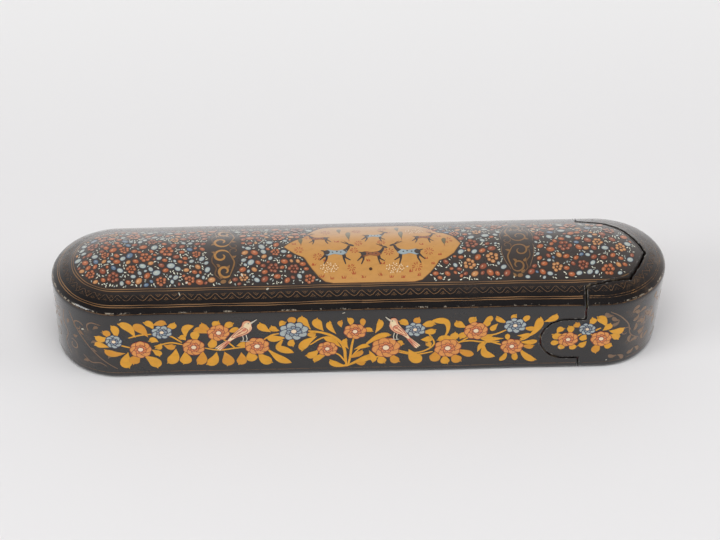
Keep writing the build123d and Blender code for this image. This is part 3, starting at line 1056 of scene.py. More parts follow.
def comma_motif():
    painting = Painting(flat)
    painting.ribbon([(-0.5, -0.12), (-0.1, 0.08), (0.45, -0.04)], [0.14, 0.40, 0.30], CHALK,
                    edge=0.55, middle=0.7)
    return motif("comma_motif", painting)


def flower_ground():
    """The largest figures find their places first and the commas take what is left."""
    rng = random.Random(2024)
    rosettes = scattered(rng, 700, 2.8, 3.4, [])
    berries = scattered(rng, 9000, 1.5, 0.06, rosettes)
    small = scattered(rng, 5000, 0.95, 0.10, rosettes + berries)
    commas = scattered(rng, 22000, 0.36, 0.22, rosettes + berries + small)
    hues = [RUST] * 9 + [BRICK] * 5 + [ORANGE] * 3 + [PALE_BLUE] * 8 + [DEEP_BLUE]

    def spots(found, colours, unit, spread=pi):
        return [(on_dome, x, y, rng.uniform(-spread, spread), size / unit, rng.choice(colours))
                for x, y, size in found]

    repeat(rosette_motif(), TOP_PAINT, rosettes=spots(rosettes, [RUST, RUST, BRICK, ORANGE], 1.70))
    repeat(berry_motif(), TOP_PAINT, berries=spots(berries, hues, 0.88, 1.1),
           small_berries=spots(small, hues, 0.85))
    repeat(comma_motif(), TOP_PAINT, white_commas=spots(commas, [CHALK] * 2 + [DUSTY_CHALK], 0.33))


flower_ground()

# Scroll lenses. Two dark lens shapes cross the top between the flower grounds. Each holds
# curled scrolls and small leaves in dull bronze, mirrored front to back.
LENS_LEAVES = ((-2.4, 9.6, 0.8), (3.4, 9.0, 2.2), (-2.6, 16.2, 1.2), (2.5, 14.6, 2.4),
               (-5.4, 4.6, 0.4), (5.6, 2.2, 2.6))  # foot and the way that each points
LENS_RIMS = ([(-6.6, 2.0), (-6.9, 6.0), (-5.6, 10.5), (-3.4, 14.6)],
             [(7.0, 1.0), (7.2, 6.0), (5.8, 10.8), (4.6, 14.0)])


def curl(x, y, large, small, start, sweep):
    """Points of a line that winds inwards round a place."""
    return [(x + (large + (small - large) * t) * cos(start + sweep * t),
             y + (large + (small - large) * t) * sin(start + sweep * t))
            for t in np.linspace(0, 1, 14)]


def scroll_lenses():
    painting = Painting(on_dome)
    for place, hand in SCROLL_PLACES:
        for side in (-1, 1):
            def put(points):
                return [(place + hand * x, side * y) for x, y in points]

            main, fine = (GOLDEN_BRONZE, 1.15) if hand < 0 else (BRONZE, 0.8)
            big = curl(1.2, 4.8, 3.9, 1.0, -2.6, 6.6)
            low = curl(-0.2, 12.6, 3.1, 1.0, 2.4, -6.6)
            painting.stroke(put(big), fine, main, step=0.6)
            painting.stroke(put(low), fine, main, step=0.6)
            painting.stroke(put([big[0], (-3.6, 6.0), (-4.4, 9.0), low[0]]), 0.7, BRONZE)
            painting.stroke(put([(5.0, 4.2), (5.2, 8.0), (3.4, 11.0), (3.9, 14.0), (1.4, 16.4)]),
                            0.6, DULL_BRONZE)
            painting.stroke(put(curl(-4.4, 1.7, 2.0, 0.6, 0.6, -5.2)), 0.55, DULL_BRONZE)
            for rim in LENS_RIMS if hand > 0 else ():
                painting.stroke(put(rim), 0.3, DARK_BRONZE)
            for x, y, turn in LENS_LEAVES:
                foot, tip = put([(x, y), (x + 2.1 * cos(turn), y + 2.1 * sin(turn))])
                painting.leaf(foot, tip, BRONZE, 0.5)
            painting.oval(*put([(0.4, 17.4)])[0], 2.6, 1.7, 0.2, BRONZE, layer=2)
    shared_out("scrolls", painting.mesh("scrolls"), TOP_PAINT)


scroll_lenses()

# Flower panels of the long sides. Spreading flower stems in ochre, with pink and blue flowers
# and two small birds, are painted freehand from a root near the middle of each side.
OCHRE = (rgb(232, 164, 24), rgb(206, 140, 22))
DEEP_OCHRE = (rgb(222, 150, 22), rgb(194, 126, 22))
PINK = (rgb(232, 156, 76), rgb(150, 52, 34))
DEEP_PINK = (rgb(224, 136, 74), rgb(146, 42, 30))
BLUE = (rgb(180, 190, 188), rgb(26, 44, 80))
DEEP_FLOWER_BLUE = (rgb(150, 166, 176), rgb(24, 40, 76))
CREAM = (rgb(250, 226, 190), rgb(232, 180, 140))
FEATHER = (rgb(248, 224, 182), rgb(232, 170, 126))
BLUSH = (rgb(238, 176, 132), rgb(224, 140, 104))
CORAL = (rgb(220, 126, 92), rgb(196, 92, 66))
BIRD_LINE = (rgb(190, 84, 62), rgb(170, 70, 52))
WING = (rgb(246, 204, 156), BIRD_LINE[0])
PALE_LINE = (rgb(214, 206, 188), rgb(170, 160, 140))
PUPIL = (rgb(50, 34, 30), rgb(50, 34, 30))
# Places on the side are in mm round from its middle and in mm up. A flower has its width and
# height with them, a leaf its foot and its tip, and a stem its own width.
PINK_FLOWERS = [(-96, 17, 9.6, 10), (-73, 17.5, 9.4, 10), (-62, 26, 9.7, 9.2),
                (-45.5, 17.5, 10.5, 10), (-15, 15, 9, 8.2), (-3, 25, 9.8, 8.7),
                (10.5, 15, 12.2, 11.9), (37.5, 14, 11.5, 10.5), (49.5, 24, 10.5, 9.8),
                (65.5, 14, 10, 8.6), (90, 17.5, 8.7, 8.3), (104.5, 17.5, 9.4, 8.8)]
BLUE_FLOWERS = [(-107.5, 22, 7.6, 7.7), (-86.5, 27, 8.8, 7.5), (-29.5, 26, 12.6, 10),
                (23, 25.5, 9.1, 7.3), (66.5, 26.5, 10, 7.9), (98, 23.5, 7.4, 6.6)]
LEAVES = """
-110.5,24,-116,23 -110,24.5,-111.5,28 -106.5,24.5,-107.5,31.5 -110.5,18.5,-116.5,19
-103.5,15,-112,16 -98.5,25,-104.5,33 -93,25,-98.5,32 -90.5,29.5,-93.5,33.5
-89.5,31.5,-84.5,32.5 -84.5,29.5,-80.5,32 -90.5,16,-87.5,13 -101.5,14.5,-102,6
-96.5,13,-100,8.5 -94,12.5,-88.5,6 -89,21.5,-92,22.5 -87.5,19.5,-89,17 -85,19,-81,18
-72,21.5,-72,27 -77,22.5,-79,24 -81,16,-84,8 -77,14,-77,7.5 -69.5,14.5,-71,7
-63.5,13.5,-67,6.5 -59.5,13.5,-58,6 -52.5,13,-53,6.5 -65.5,28,-69.5,31.5 -62.5,29,-62.5,33
-59,28.5,-56,32 -67,26,-72.5,28 -57,26.5,-53,27.5 -64.5,23,-66,17 -53.5,18,-50,18.5
-40,26.5,-44.5,31 -35,30,-33.5,32 -36.5,27,-39.5,29 -30,30,-30,34.5 -22.5,27.5,-26.5,34.5
-17,26.5,-20,33 -11.5,24.5,-14.5,31 -33.5,22.5,-41,22.5 -30,21,-30.5,17 -23.5,24,-20,24
-48.5,14,-47,8.5 -44.5,13,-39.5,7 -20,22,-26.5,14.5 -19.5,14,-24,10.5 -15,12,-21,7.5
-7,4.5,-14,7.5 -9,28.5,-9.5,31.5 -5,29,-5.5,33 0,28,0,32.5 0,25,4.5,25.5 6,24.5,8,31.5
-9.5,16,-16.5,22 -6,15.5,-7.5,20.5 -4.5,9.5,0.5,13 -2.5,14.5,3,16.5 2.5,18,12,23
-4.5,6,4,10.5 -2,6,1.5,5.5 3.5,12.5,5.5,6.5 8.5,10,9.5,5.5 13.5,10.5,16,6
15.5,16.5,18,17.5 21,13,26,6 19.5,28,16.5,31 24.5,28,24,32.5 26,27,31.5,29 27,24,32,24.5
32.5,12.5,30.5,6.5 36.5,9,37,4.5 40,10,43,5.5 42,13,49,9.5
29.5,15.5,28.5,17.5 26.5,19.5,30.5,20 38,18,41,23 44.5,26.5,40.5,29.5 48,28,48.5,32
51.5,26.5,55.5,29 42,17,33,19.5 51,20.5,56.5,20 46.5,22.5,42.5,20 51,12,53.5,16.5
52.5,28,56,32.5 58.5,27,56.5,23.5 62.5,28.5,58,31.5 66,29.5,66,33 70,28,72.5,32
71,25,75,24.5 68.5,20.5,73.5,21 64,18,63.5,21.5 61,19,51.5,20
69.5,16.5,76.5,17 63,10.5,60.5,5.5 67,11,67.5,5.5 69.5,12,76,5 70.5,14.5,75,13.5
79.6,28.8,84.6,32.3 88,20,83,20 85.5,22,87.5,24.5 90.5,21.5,90.5,25.5 86,16,82.5,15.5
88.5,14.5,87,11.5 92,14.5,93,11.5 97.5,15.5,95,13 99,26.5,100.5,30 106,25.5,102.5,31
105.5,23,108.5,26 108.5,22,115,21.5 108.5,19,113,16.5 106.5,15,109.5,12 104,14.5,102,9
94.5,25.5,92.5,27 97.5,19.5,96.5,16.5
"""
CURLED_LEAVES = [
    ([(-34.5, 21), (-36.0, 16.5), (-29.5, 13)], 3.6),
    ([(-40.5, 15), (-35.5, 9.5), (-30.5, 7)], 3.6),
    ([(53, 15.5), (54.0, 10.0), (58.5, 8)], 3.4),
    ([(-76.5, 24), (-76.0, 29.0), (-72.5, 30.5)], 3.4),
    ([(35.6, 19.5), (37.3, 25.0), (36.2, 29.8), (30.2, 30.6)], 3.3),
    ([(69.0, 18.4), (74.0, 21.2), (76.6, 26.0), (77.2, 31.6)], 3.6),
]
THIN_STEM = 0.85
STEMS = [
    [(15, 13.5), (22, 11.5), (28, 13), (31.5, 17), (29, 23)],
    [(15, 12.5), (23, 10.5), (31, 12)], [(41, 17), (47, 18), (53, 17), (60, 17)],
    [(41, 16), (45, 19), (49, 22)], [(53, 21), (58, 21.5), (63, 24)],
    [(55, 17.5), (60, 15.5), (64, 14)], [(68, 17), (72, 19), (75.5, 24)],
    [(-35, 25), (-39, 24.0), (-43, 21)], [(-50, 17), (-55, 16.5), (-62, 15.5), (-69, 17)],
    [(-55, 16.5), (-58, 20), (-61, 23)], [(-77, 19), (-83, 20.5), (-90, 18.5)],
    [(-78, 20.5), (-82, 24), (-85, 25.5)], [(-100, 18), (-104, 19.5), (-107, 21)],
    [(-91, 26), (-96, 25.5), (-101, 24)], [(93.5, 19), (97, 21), (103, 19)], [(99, 21), (104, 24)],
]
ROOT_STEMS = [
    ([(-6.4, 3.9), (-7.1, 9), (-7.5, 14.2), (-9.2, 18.6), (-12.5, 22.2), (-17, 24.6),
      (-23.5, 26.0)], 1.4),
    ([(-8.6, 17.5), (-12, 20.8), (-17, 21.6), (-22.5, 17.5)], 0.9),
    ([(-5.9, 4.2), (-5.0, 10), (-4.4, 16), (-3.6, 21)], 1.1),
    ([(-5.0, 9.0), (-1, 14.5), (4.5, 18.8), (11, 22)], 0.8),
    ([(-6.2, 4.4), (-1, 7.0), (4.5, 8.4), (9, 10.5)], 1.1),
    ([(-7.0, 6.5), (-9.8, 11.0), (-14, 13.5)], 0.8),
    ([(-6.4, 5.2), (-8.4, 4.4), (-11, 5.4)], 1.1),
]
# A bird that looks to the right, in mm from the middle of its head.
BIRD_BODY = [(1.7, 0.2), (1.1, 1.6), (-0.5, 1.9), (-1.8, 0.9), (-2.2, -0.9), (-4.2, -3.4),
             (-6.9, -6.6), (-8.6, -9.2), (-7.4, -9.3), (-4.6, -7.2), (-1.8, -6.2), (0.8, -4.4),
             (1.9, -2.4), (1.7, -0.8)]
BIRD_CROWN = [(1.4, 0.9), (0.7, 1.5), (-0.5, 1.5), (-1.5, 0.5), (-1.9, -1.0), (-3.0, -2.6)]
BIRD_BREAST = [(1.4, -1.4), (1.2, -3.0), (0.0, -4.6), (-2.4, -6.0), (-5.6, -7.4)]
BIRD_WING = [(-1.6, -1.8), (0.1, -2.9), (-0.4, -4.6), (-3.4, -6.2), (-6.8, -7.6), (-4.6, -4.4)]


def plain(colour):
    """A tint and a rim of one colour."""
    return (colour, colour)


class Panel(Painting):
    def flower(self, u, v, width, height, colours, deep, turn, line=0.34, edge=0.42):
        """Two rings of broad petals round a pale heart, laid like shingles, each outlined."""
        wide, high = 0.95 * width, 0.95 * height
        self.oval(u, v, wide + line, high + line, 0, plain(colours[1]), 6.2, sides=32)
        self.oval(u, v, wide - line, high - line, 0, colours, 6.6, edge, 0.6, 32)
        for petals, reach, radial, across, tones, layer in ((8, 0.58, 0.86, 0.80, colours, 7.0),
                                                            (7, 0.32, 0.46, 0.42, deep, 11.4)):
            outlined = plain(tones[1])
            for k in range(petals):
                a = turn + 2 * pi * k / petals + petals
                along, up = width / 2 * cos(a), height / 2 * sin(a)
                x, y = u + reach * along, v + reach * up
                long = radial * width / 2 * (1 + 0.08 * sin(5 * k + turn * 9))
                broad = across * height / 2
                over = layer + 0.5 * k
                self.oval(x, y, long + line, broad + line, a, outlined, over, sides=14)
                long, broad = long - line / 2, broad - line / 2
                self.oval(x, y, long, broad, a, tones, over + 0.25, edge, 0.7, 14)
                vein = [(u + r * along, v + r * up) for r in (reach - 0.12, reach + 0.12)]
                self.ribbon(vein, [0.32, 0.12], outlined, over + 0.4)
        heart = 0.24 * min(width, height)
        self.oval(u, v, heart + 0.6, heart + 0.6, 0, plain(deep[1]), 15.4)
        self.oval(u, v, heart, heart, 0, CREAM, 15.8, 0.6, 0.9)

    def bird(self, u, v, hand, lean, drop):
        """A small long-tailed bird seen from the side, its head at the place given."""
        def put(points):
            return [(u + hand * x * lean, v + y * drop) for x, y in points]

        for k in range(3):
            x, y = -13.9 + 0.8 * k, -13.5 - 0.6 * k
            tail = put([(-6.6, -7.6), (-10.2 + 0.2 * k, -10.6 - 0.2 * k), (x, y)])
            self.stroke(tail, 0.85, FEATHER, 16 + 0.3 * k, taper=0.7)
            quill = put([(-7.0 + 0.3 * k, -7.7 - 0.3 * k), (x + 0.8, y + 0.2)])
            self.stroke(quill, 0.52, CORAL, 17.2 + 0.2 * k, taper=0.6)
        outline = smooth_path(put(BIRD_BODY + BIRD_BODY[:1]), 0.7)
        self.ribbon(outline, [0.4] * len(outline), plain(BIRD_LINE[0]), 18)
        near = put([(x * 0.9 - 0.2, y * 0.96) for x, y in BIRD_BODY[:6] + BIRD_BODY[10:]])
        self.blob(outline[:-1], FEATHER, 18.4, 0.6, 0.72)
        self.blob(near, FEATHER, 18.8, 0.7, 0.75)
        self.ribbon(put(BIRD_CROWN), [0.5, 0.9, 1.0, 0.9, 0.7, 0.3], BLUSH, 19)
        self.ribbon(put(BIRD_BREAST), [0.3, 0.7, 0.8, 0.7, 0.3], BLUSH, 19)
        edge = smooth_path(put(BIRD_WING + BIRD_WING[:1]), 0.7)
        self.blob(edge[:-1], WING, 19.4, 0.5, 0.7)
        self.oval(*put([(-1.3, -3.2)])[0], 2.1, 1.5, 0.6 * hand, CORAL, 19.8, 0.5, 0.8)
        self.ribbon(edge, [0.38] * len(edge), BIRD_LINE, 20)
        for k in range(3):
            self.stroke(put([(-1.2 - 0.9 * k, -3.0 - 0.6 * k), (-3.6 - 0.8 * k, -5.3 - 0.5 * k)]),
                        0.3, BIRD_LINE, 20.4)
        self.ribbon(put([(1.5, 0.7), (2.6, 1.4), (4.2, 2.7)]), [1.2, 0.75, 0.3], PALE_LINE, 19)
        self.oval(u + hand * 0.5, v + 0.5, 0.6, 0.6, 0, PUPIL, 20, sides=7)
        for x in (-0.6, -2.2):
            leg = put([(x, -6.0), (x + 0.5, -8.2), (x + 0.1, -9.9)])
            self.ribbon(leg, [0.4] * 3, PALE_LINE, 17)
            self.ribbon(put([(x - 0.9, -9.6), (x + 1.5, -9.7)]), [0.32] * 2, PALE_LINE, 17.4)


def plumpness(u, foot_v):
    """Leaves are slim where they stand close and plumpest along the foot of the side."""
    if -17 < u < 8 or 50 < u < 76:
        return 0.8
    return 1.35 if foot_v < 8.6 else 1.08


def flower_panel(name, place):
    """One long side: stems, leaves over them, then the flowers and the birds."""
    rng = random.Random(5)
    panel = Panel(place)
    for k, points in enumerate(STEMS):
        panel.stroke(points, THIN_STEM, OCHRE, 0.6 + 0.3 * (k % 4), taper=0.6)
    for k, (points, width) in enumerate(ROOT_STEMS):
        panel.stroke(points, width, OCHRE, 0.7 + 0.3 * (k % 7), taper=0.5)
    for k, entry in enumerate(LEAVES.split()):
        u0, v0, u1, v1 = (float(n) for n in entry.split(","))
        back = 1.0 / max(hypot(u1 - u0, v1 - v0), 1.0)
        base = (u0 - (u1 - u0) * back, v0 - (v1 - v0) * back)
        hue = OCHRE if rng.random() < 0.75 else DEEP_OCHRE
        lean = rng.choice((-1, 1))
        fullness = plumpness(u0, v1) * rng.uniform(0.95, 1.15)
        bow = lean * rng.uniform(0.04, 0.12)
        hook = -lean * 0.52 if rng.random() < 0.75 else 0.0
        panel.leaf(base, (u1, v1), hue, fullness, bow, 2.0 + 0.4 * (k % 7), hook)
    for k, (points, width) in enumerate(CURLED_LEAVES):
        path = smooth_path(points, 1.0)
        share = np.linspace(0, 1, len(path))
        lag = 2.4 if len(points) > 3 else 1.5
        widths = [0.9 * (1 - t) + width * sin(pi * t**lag) ** 0.9 for t in share]
        panel.ribbon(path, widths, OCHRE, 4.8 + 0.3 * k)
    for u, v, width, height in PINK_FLOWERS:
        panel.flower(u, v, width, height, PINK, DEEP_PINK, rng.uniform(0, 1))
    for u, v, width, height in BLUE_FLOWERS:
        panel.flower(u, v, width, height, BLUE, DEEP_FLOWER_BLUE, rng.uniform(0, 1), 0.5, 0.36)
    panel.bird(-49.6, 30.9, 1, 1.0, 1.05)
    panel.bird(13.6, 30.4, -1, 0.84, 1.08)
    shared_out(name, panel.mesh(name), PAINT)


WORN_CURLS = [
    (curl(-124.6, 26.6, 3.2, 1.0, 0.5, 6.0), 0.72), (curl(-128.6, 13.6, 3.0, 1.0, 2.0, -6.2), 0.72),
    ([(-129.5, 33), (-125.5, 24.5), (-119, 16), (-112.5, 9.8), (-106.5, 5.5)], 0.64),
    ([(-119.2, 26), (-119.6, 29.2), (-117.2, 31.4), (-113, 31.0)], 0.72),
    ([(-123, 10.5), (-119, 7.4), (-114.5, 8.2), (-111.4, 6.6)], 0.64),
    ([(-133.5, 31), (-134.6, 24), (-132.0, 18.5), (-134.2, 12), (-131.0, 6.6)], 0.64),
    (curl(-139.5, 25.0, 3.4, 1.1, 1.0, 5.6), 0.72), (curl(-141.0, 12.5, 3.2, 1.0, 4.0, -5.6), 0.72),
    ([(-152.1, 31), (-148.2, 26), (-152.1, 18.4), (-147.0, 13.0), (-152.1, 6.4)], 0.67),
]
WORN_LEAVES = [(-121.5, 22.4, 2.4), (-118.4, 19.0, 0.4), (-115.6, 14.6, 2.6), (-125.4, 20.6, 3.6),
               (-116.8, 27.6, 0.6), (-113.4, 27.0, -0.6), (-131.4, 24.0, 1.2), (-123.4, 6.6, 0.3),
               (-110.6, 11.4, 0.8), (-136.6, 19.0, 2.0), (-145.0, 19.4, 1.0), (-144.6, 29.6, 0.2),
               (-145.4, 7.0, 2.8)]
CAP_CURLS = [curl(130.4, 25.6, 3.0, 1.0, 2.6, 6.0), curl(116.0, 19.6, 2.8, 1.0, 0.0, 5.8),
             curl(141.8, 14.0, 3.2, 1.0, 1.4, -5.6),
             [(107.8, 33.4), (112.4, 30.0), (117.0, 24.0), (119.0, 17.0), (124.4, 12.6)]]
CAP_TUFTS = [(109.5, 31.0), (112.5, 27.5), (118.6, 30.0), (122.6, 28.0), (126.4, 24.6),
             (121.4, 22.8), (127.6, 17.6), (131.8, 20.0), (119.0, 12.0), (122.4, 7.6),
             (128.0, 9.6), (134.6, 13.4), (113.0, 6.4), (134.4, 29.4), (140.6, 24.4),
             (139.4, 8.6), (145.6, 16.4), (149.6, 28.0)]


def end_scrolls(name, place):
    """Worn bronze curls and leaves on the walls at the two round ends."""
    painting = Painting(place)

    def leaf(x, y, turn, length, colours, fullness, bow=0.15):
        tip = (x + length * cos(turn), y + length * sin(turn))
        painting.leaf((x, y), tip, colours, fullness, bow)

    for points, width in WORN_CURLS:
        painting.stroke(points, width, FADED_BRONZE, taper=0.5)
    for x, y, turn in WORN_LEAVES:
        leaf(x, y, turn, 3.2, FADED_BRONZE, 0.62)
    rng = random.Random(23)
    for x, y in CAP_TUFTS:
        for _ in range(2):
            leaf(x, y, rng.uniform(-pi, pi), 4.4, DARK_BRONZE, 0.7, 0.2)
    for points in CAP_CURLS:
        painting.stroke(points, 0.6, DARK_BRONZE, taper=0.5)
    shared_out(name, painting.mesh(name), FADED_PAINT)


flower_panel("front_panel", on_wall)
flower_panel("back_panel", on_far_wall)
end_scrolls("front_ends", on_wall)
end_scrolls("back_ends", on_far_wall)

# Chips. Small losses in the lacquer of the walls and of the top's edge, where the pale ground
# under it shows.
CHIP = (rgb(206, 200, 182), rgb(170, 160, 140))
WALL_CHIPS = ((-122.0, 26.0, 1.5, 0.9), (-104.0, 35.2, 1.0, 0.4), (-8.0, 36.2, 1.6, 0.4),
              (86.5, 12.6, 0.5, 1.2), (107.8, 4.4, 0.9, 0.5))  # place, length and height
TOP_CHIPS = ((-51.4, -14.6, 0.8, 1.7), (-75.2, -17.6, 1.2, 0.9), (-40.5, -21.0, 1.3, 0.7),
             (-78.4, -22.4, 0.4, 1.5), (-110.0, -18.2, 0.6, 0.5), (20.2, -12.4, 1.0, 0.6))


def chips(name, place, spots):
    painting = Painting(place)
    for x, y, length, height in spots:
        painting.oval(x, y, length, height, 0.4, CHIP, 12, 0.4, 0.6, sides=7)
    shared_out(name, painting.mesh(name), PAINT)


chips("wall_chips", on_wall, WALL_CHIPS)
chips("top_chips", on_dome, TOP_CHIPS)

# Medallion. A gold-ochre cartouche with cusped ends fills the middle of the top. Small deer,
# cypresses, shrubs and tufts of grass are drawn on it with the point of a fine brush.
GOLD = (rgb(193, 141, 76), rgb(172, 117, 58))
BEAST_GREY = (rgb(150, 164, 168), rgb(44, 46, 54))
BEAST_DARK = (rgb(58, 52, 52), rgb(40, 34, 34))
BEAST_BROWN = (rgb(140, 84, 52), rgb(70, 44, 32))
CYPRESS = (rgb(104, 96, 66), rgb(62, 62, 48))
SHRUB_RED = (rgb(164, 70, 40), rgb(134, 54, 34))
SHRUB_WHITE = (rgb(232, 222, 196), rgb(150, 130, 104))
INK_DOT = (rgb(66, 40, 30), rgb(40, 24, 20))
MEDALLION_LINE = rgb(120, 80, 44)
MEDALLION_MIDDLE = (5.5, 0.0)
MEDALLION_RINGS = 18
SEED_TURN = 2.4
# A deer faces along X, about one unit long, and stands on the line 0.5 under its middle.
DEER_LEGS = (((-0.34, -0.06), (-0.46, -0.20), (-0.60, -0.34)),
             ((-0.34, -0.06), (-0.34, -0.28), (-0.44, -0.50)),
             ((0.28, -0.06), (0.34, -0.24), (0.52, -0.36)),
             ((0.28, -0.06), (0.28, -0.28), (0.34, -0.52)))
DEER_BODY = ((-0.44, 0.04), (-0.28, 0.15), (0.02, 0.10), (0.30, 0.15), (0.42, 0.02),
             (0.24, -0.12), (-0.06, -0.07), (-0.32, -0.14), (-0.44, 0.04))
DEER_SPOTS = ((-0.12, 0.02), (0.04, 0.05), (0.18, 0.02))
# Places on the medallion are in mm from the middle of the top.
DEER = ((-10.5, -4.4, 12.0, 1, BEAST_GREY), (5.0, -5.6, 10.6, 1, BEAST_BROWN),
        (21.0, -4.8, 12.0, -1, BEAST_GREY), (-17.5, 5.8, 8.6, -1, BEAST_BROWN),
        (6.5, 7.2, 9.2, 1, BEAST_GREY), (28.0, 5.2, 8.4, 1, BEAST_BROWN))
CYPRESSES = ((-4.5, 4.4, 7.5), (18.5, 4.6, 7.0), (-25.5, 1.5, 5.0), (37.0, -0.6, 5.0),
             (-8.5, 11.0, 5.0), (17.0, 12.0, 5.0))
BUSHES = ((-13.5, -12.2), (15.0, -13.0), (24.5, 11.5))
SHRUBS = ((-26.5, -2.2), (-18.5, -6.4), (-4.0, -12.4), (-2.5, -3.2), (12.5, -4.4),
          (24.5, -12.4), (30.0, -4.6), (38.5, 2.6), (-0.5, 1.4), (-1.0, 12.6), (-14.5, 12.0),
          (31.5, 12.0), (9.5, 1.8), (-22.0, 7.5), (10.5, 15.2))
GRASS = ((-17.5, -16.6), (-8.0, -17.4), (0.5, -17.2), (8.0, -16.4), (17.5, -17.6), (24.5, -16.8),
         (28.0, -8.8), (9.0, -11.0), (-21.0, -11.0), (34.5, 5.5), (-29.0, 1.5), (-13.0, -17.6),
         (-3.5, -15.6), (12.5, -17.4), (21.0, -15.0), (-16.0, -9.0), (3.0, -9.5), (31.0, -11.6),
         (26.5, -0.5), (-10.5, 2.5), (12.0, 9.8), (34.0, -7.0))


class Picture(Painting):
    def deer(self, x, y, size, hand, colours):
        """A small running deer seen from the side, dark at its head and haunch."""
        def put(points):
            return [(x + hand * size * a, y + size * b) for a, b in points]

        def limb(points, widths, layer):
            self.ribbon(put(points), [size * w for w in widths], BEAST_DARK, layer)

        def spot(place, length, width, turn, layer, sides=10):
            at = put([place])[0]
            self.oval(*at, length * size, width * size, turn, BEAST_DARK, layer, sides=sides)

        for leg in DEER_LEGS:
            limb(leg, (0.13, 0.07, 0.04), 5)
        self.blob(smooth_path(put(DEER_BODY), 0.6)[:-1], colours, 6)
        spot((-0.33, 0.02), 0.24, 0.22, 0.4 * hand, 7)
        limb(((0.32, 0.06), (0.44, 0.20), (0.50, 0.36)), (0.18, 0.12, 0.09), 7)
        spot((0.57, 0.38), 0.22, 0.10, -0.5 * hand, 8)
        for lean in (0.04, 0.16):
            limb(((0.51, 0.40), (0.44 - lean, 0.54), (0.36 - lean, 0.60)), (0.05, 0.03, 0.02), 8)
        limb(((-0.42, 0.08), (-0.54, 0.12)), (0.07, 0.03), 7)
        for place in DEER_SPOTS:
            spot(place, 0.07, 0.06, 0.3, 8, sides=6)

    def shrub(self, x, y, size, rng):
        """A round tuft of short strokes with a dot at the end of each."""
        for k in range(9):
            a = 2 * pi * k / 9 + rng.uniform(-0.2, 0.2)
            start = (x + 0.4 * size * cos(a), y + 0.4 * size * sin(a))
            end = (x + size * cos(a), y + size * sin(a))
            self.ribbon([start, end], [0.22, 0.48], SHRUB_RED, 3)
        self.oval(x, y, 0.5, 0.4, 0, SHRUB_RED, 4, sides=6)

    def grass(self, x, y, rng):
        for k in range(4):
            foot = x + 0.4 * k
            tip = (foot + rng.uniform(-0.8, 0.8), y + rng.uniform(0.8, 1.5))
            self.ribbon([(foot, y), tip], [0.42, 0.18], SHRUB_RED, 3)

    def dotted_bush(self, x, y, rng):
        """Dots set as the seeds of a sunflower are, and pressed flat."""
        for k in range(44):
            a, r = k * SEED_TURN, 0.62 * sqrt(k)
            tone = SHRUB_WHITE if k % 3 else BEAST_BROWN
            self.oval(x + r * cos(a), y + 0.62 * r * sin(a), 0.56, 0.42, rng.uniform(0, 3), tone, 4,
                      sides=6)

    def cypress(self, x, y, tall):
        self.ribbon([(x, y - 0.16 * tall), (x, y)], [0.3, 0.3], SHRUB_RED, 3)
        self.leaf((x, y - 0.05 * tall), (x, y + tall), CYPRESS, 0.62, 0.04, 4)


def gold_ground(picture):
    """The plain field of the cartouche, in rings that close on its middle, and its rim line."""
    rim = [MEDALLION[0]]
    for start, end in zip(MEDALLION, MEDALLION[1:] + MEDALLION[:1]):
        rim += line(start, end, 1.4)[1:]
    rim = [np.array(p) for p in rim[:-1]]
    middle = np.array(MEDALLION_MIDDLE)
    rings = []
    for k in range(MEDALLION_RINGS):
        inward, shade = 1 - k / MEDALLION_RINGS, 0.35 if k == 0 else 0.66
        spots = [middle + (p - middle) * inward for p in rim]
        rings.append([picture.dot(*spot, 1, GOLD, shade) for spot in spots])
    heart = picture.dot(*middle, 1, GOLD, 0.66)
    count = len(rim)
    for k in range(count):
        m = (k + 1) % count
        for a, b in zip(rings, rings[1:]):
            picture.faces.append((a[k], a[m], b[m], b[k]))
        picture.faces.append((rings[-1][k], rings[-1][m], heart))
    closed = [tuple(p) for p in rim + rim[:1]]
    picture.ribbon(closed, [0.26] * len(closed), plain(MEDALLION_LINE), 2)


def medallion():
    rng = random.Random(3)
    picture = Picture(on_dome)
    gold_ground(picture)
    for animal in DEER:
        picture.deer(*animal)
    for tree in CYPRESSES:
        picture.cypress(*tree)
    for x, y in BUSHES:
        picture.dotted_bush(x, y, rng)
    for x, y in SHRUBS:
        picture.shrub(x, y, rng.uniform(1.6, 2.3), rng)
    for x, y in GRASS:
        picture.grass(x, y, rng)
    picture.oval(4.3, -13.2, 1.5, 1.5, 0, INK_DOT, 9)
    shared_out("medallion", picture.mesh("medallion"), TOP_PAINT)


medallion()

# Lips of the cut. The lacquer stands up in a thin uneven bead along both edges of the saw cut
# and has chipped off it in places.
LIP_RADIUS = 0.22
LIP_STEP = 0.45
LIP_DEPTH = 0.05  # how far its middle lies under the face of the wall
LIP_SET_BACK = 0.18  # from the raw edge of the cut
DOME_EDGE_Y = 29.4


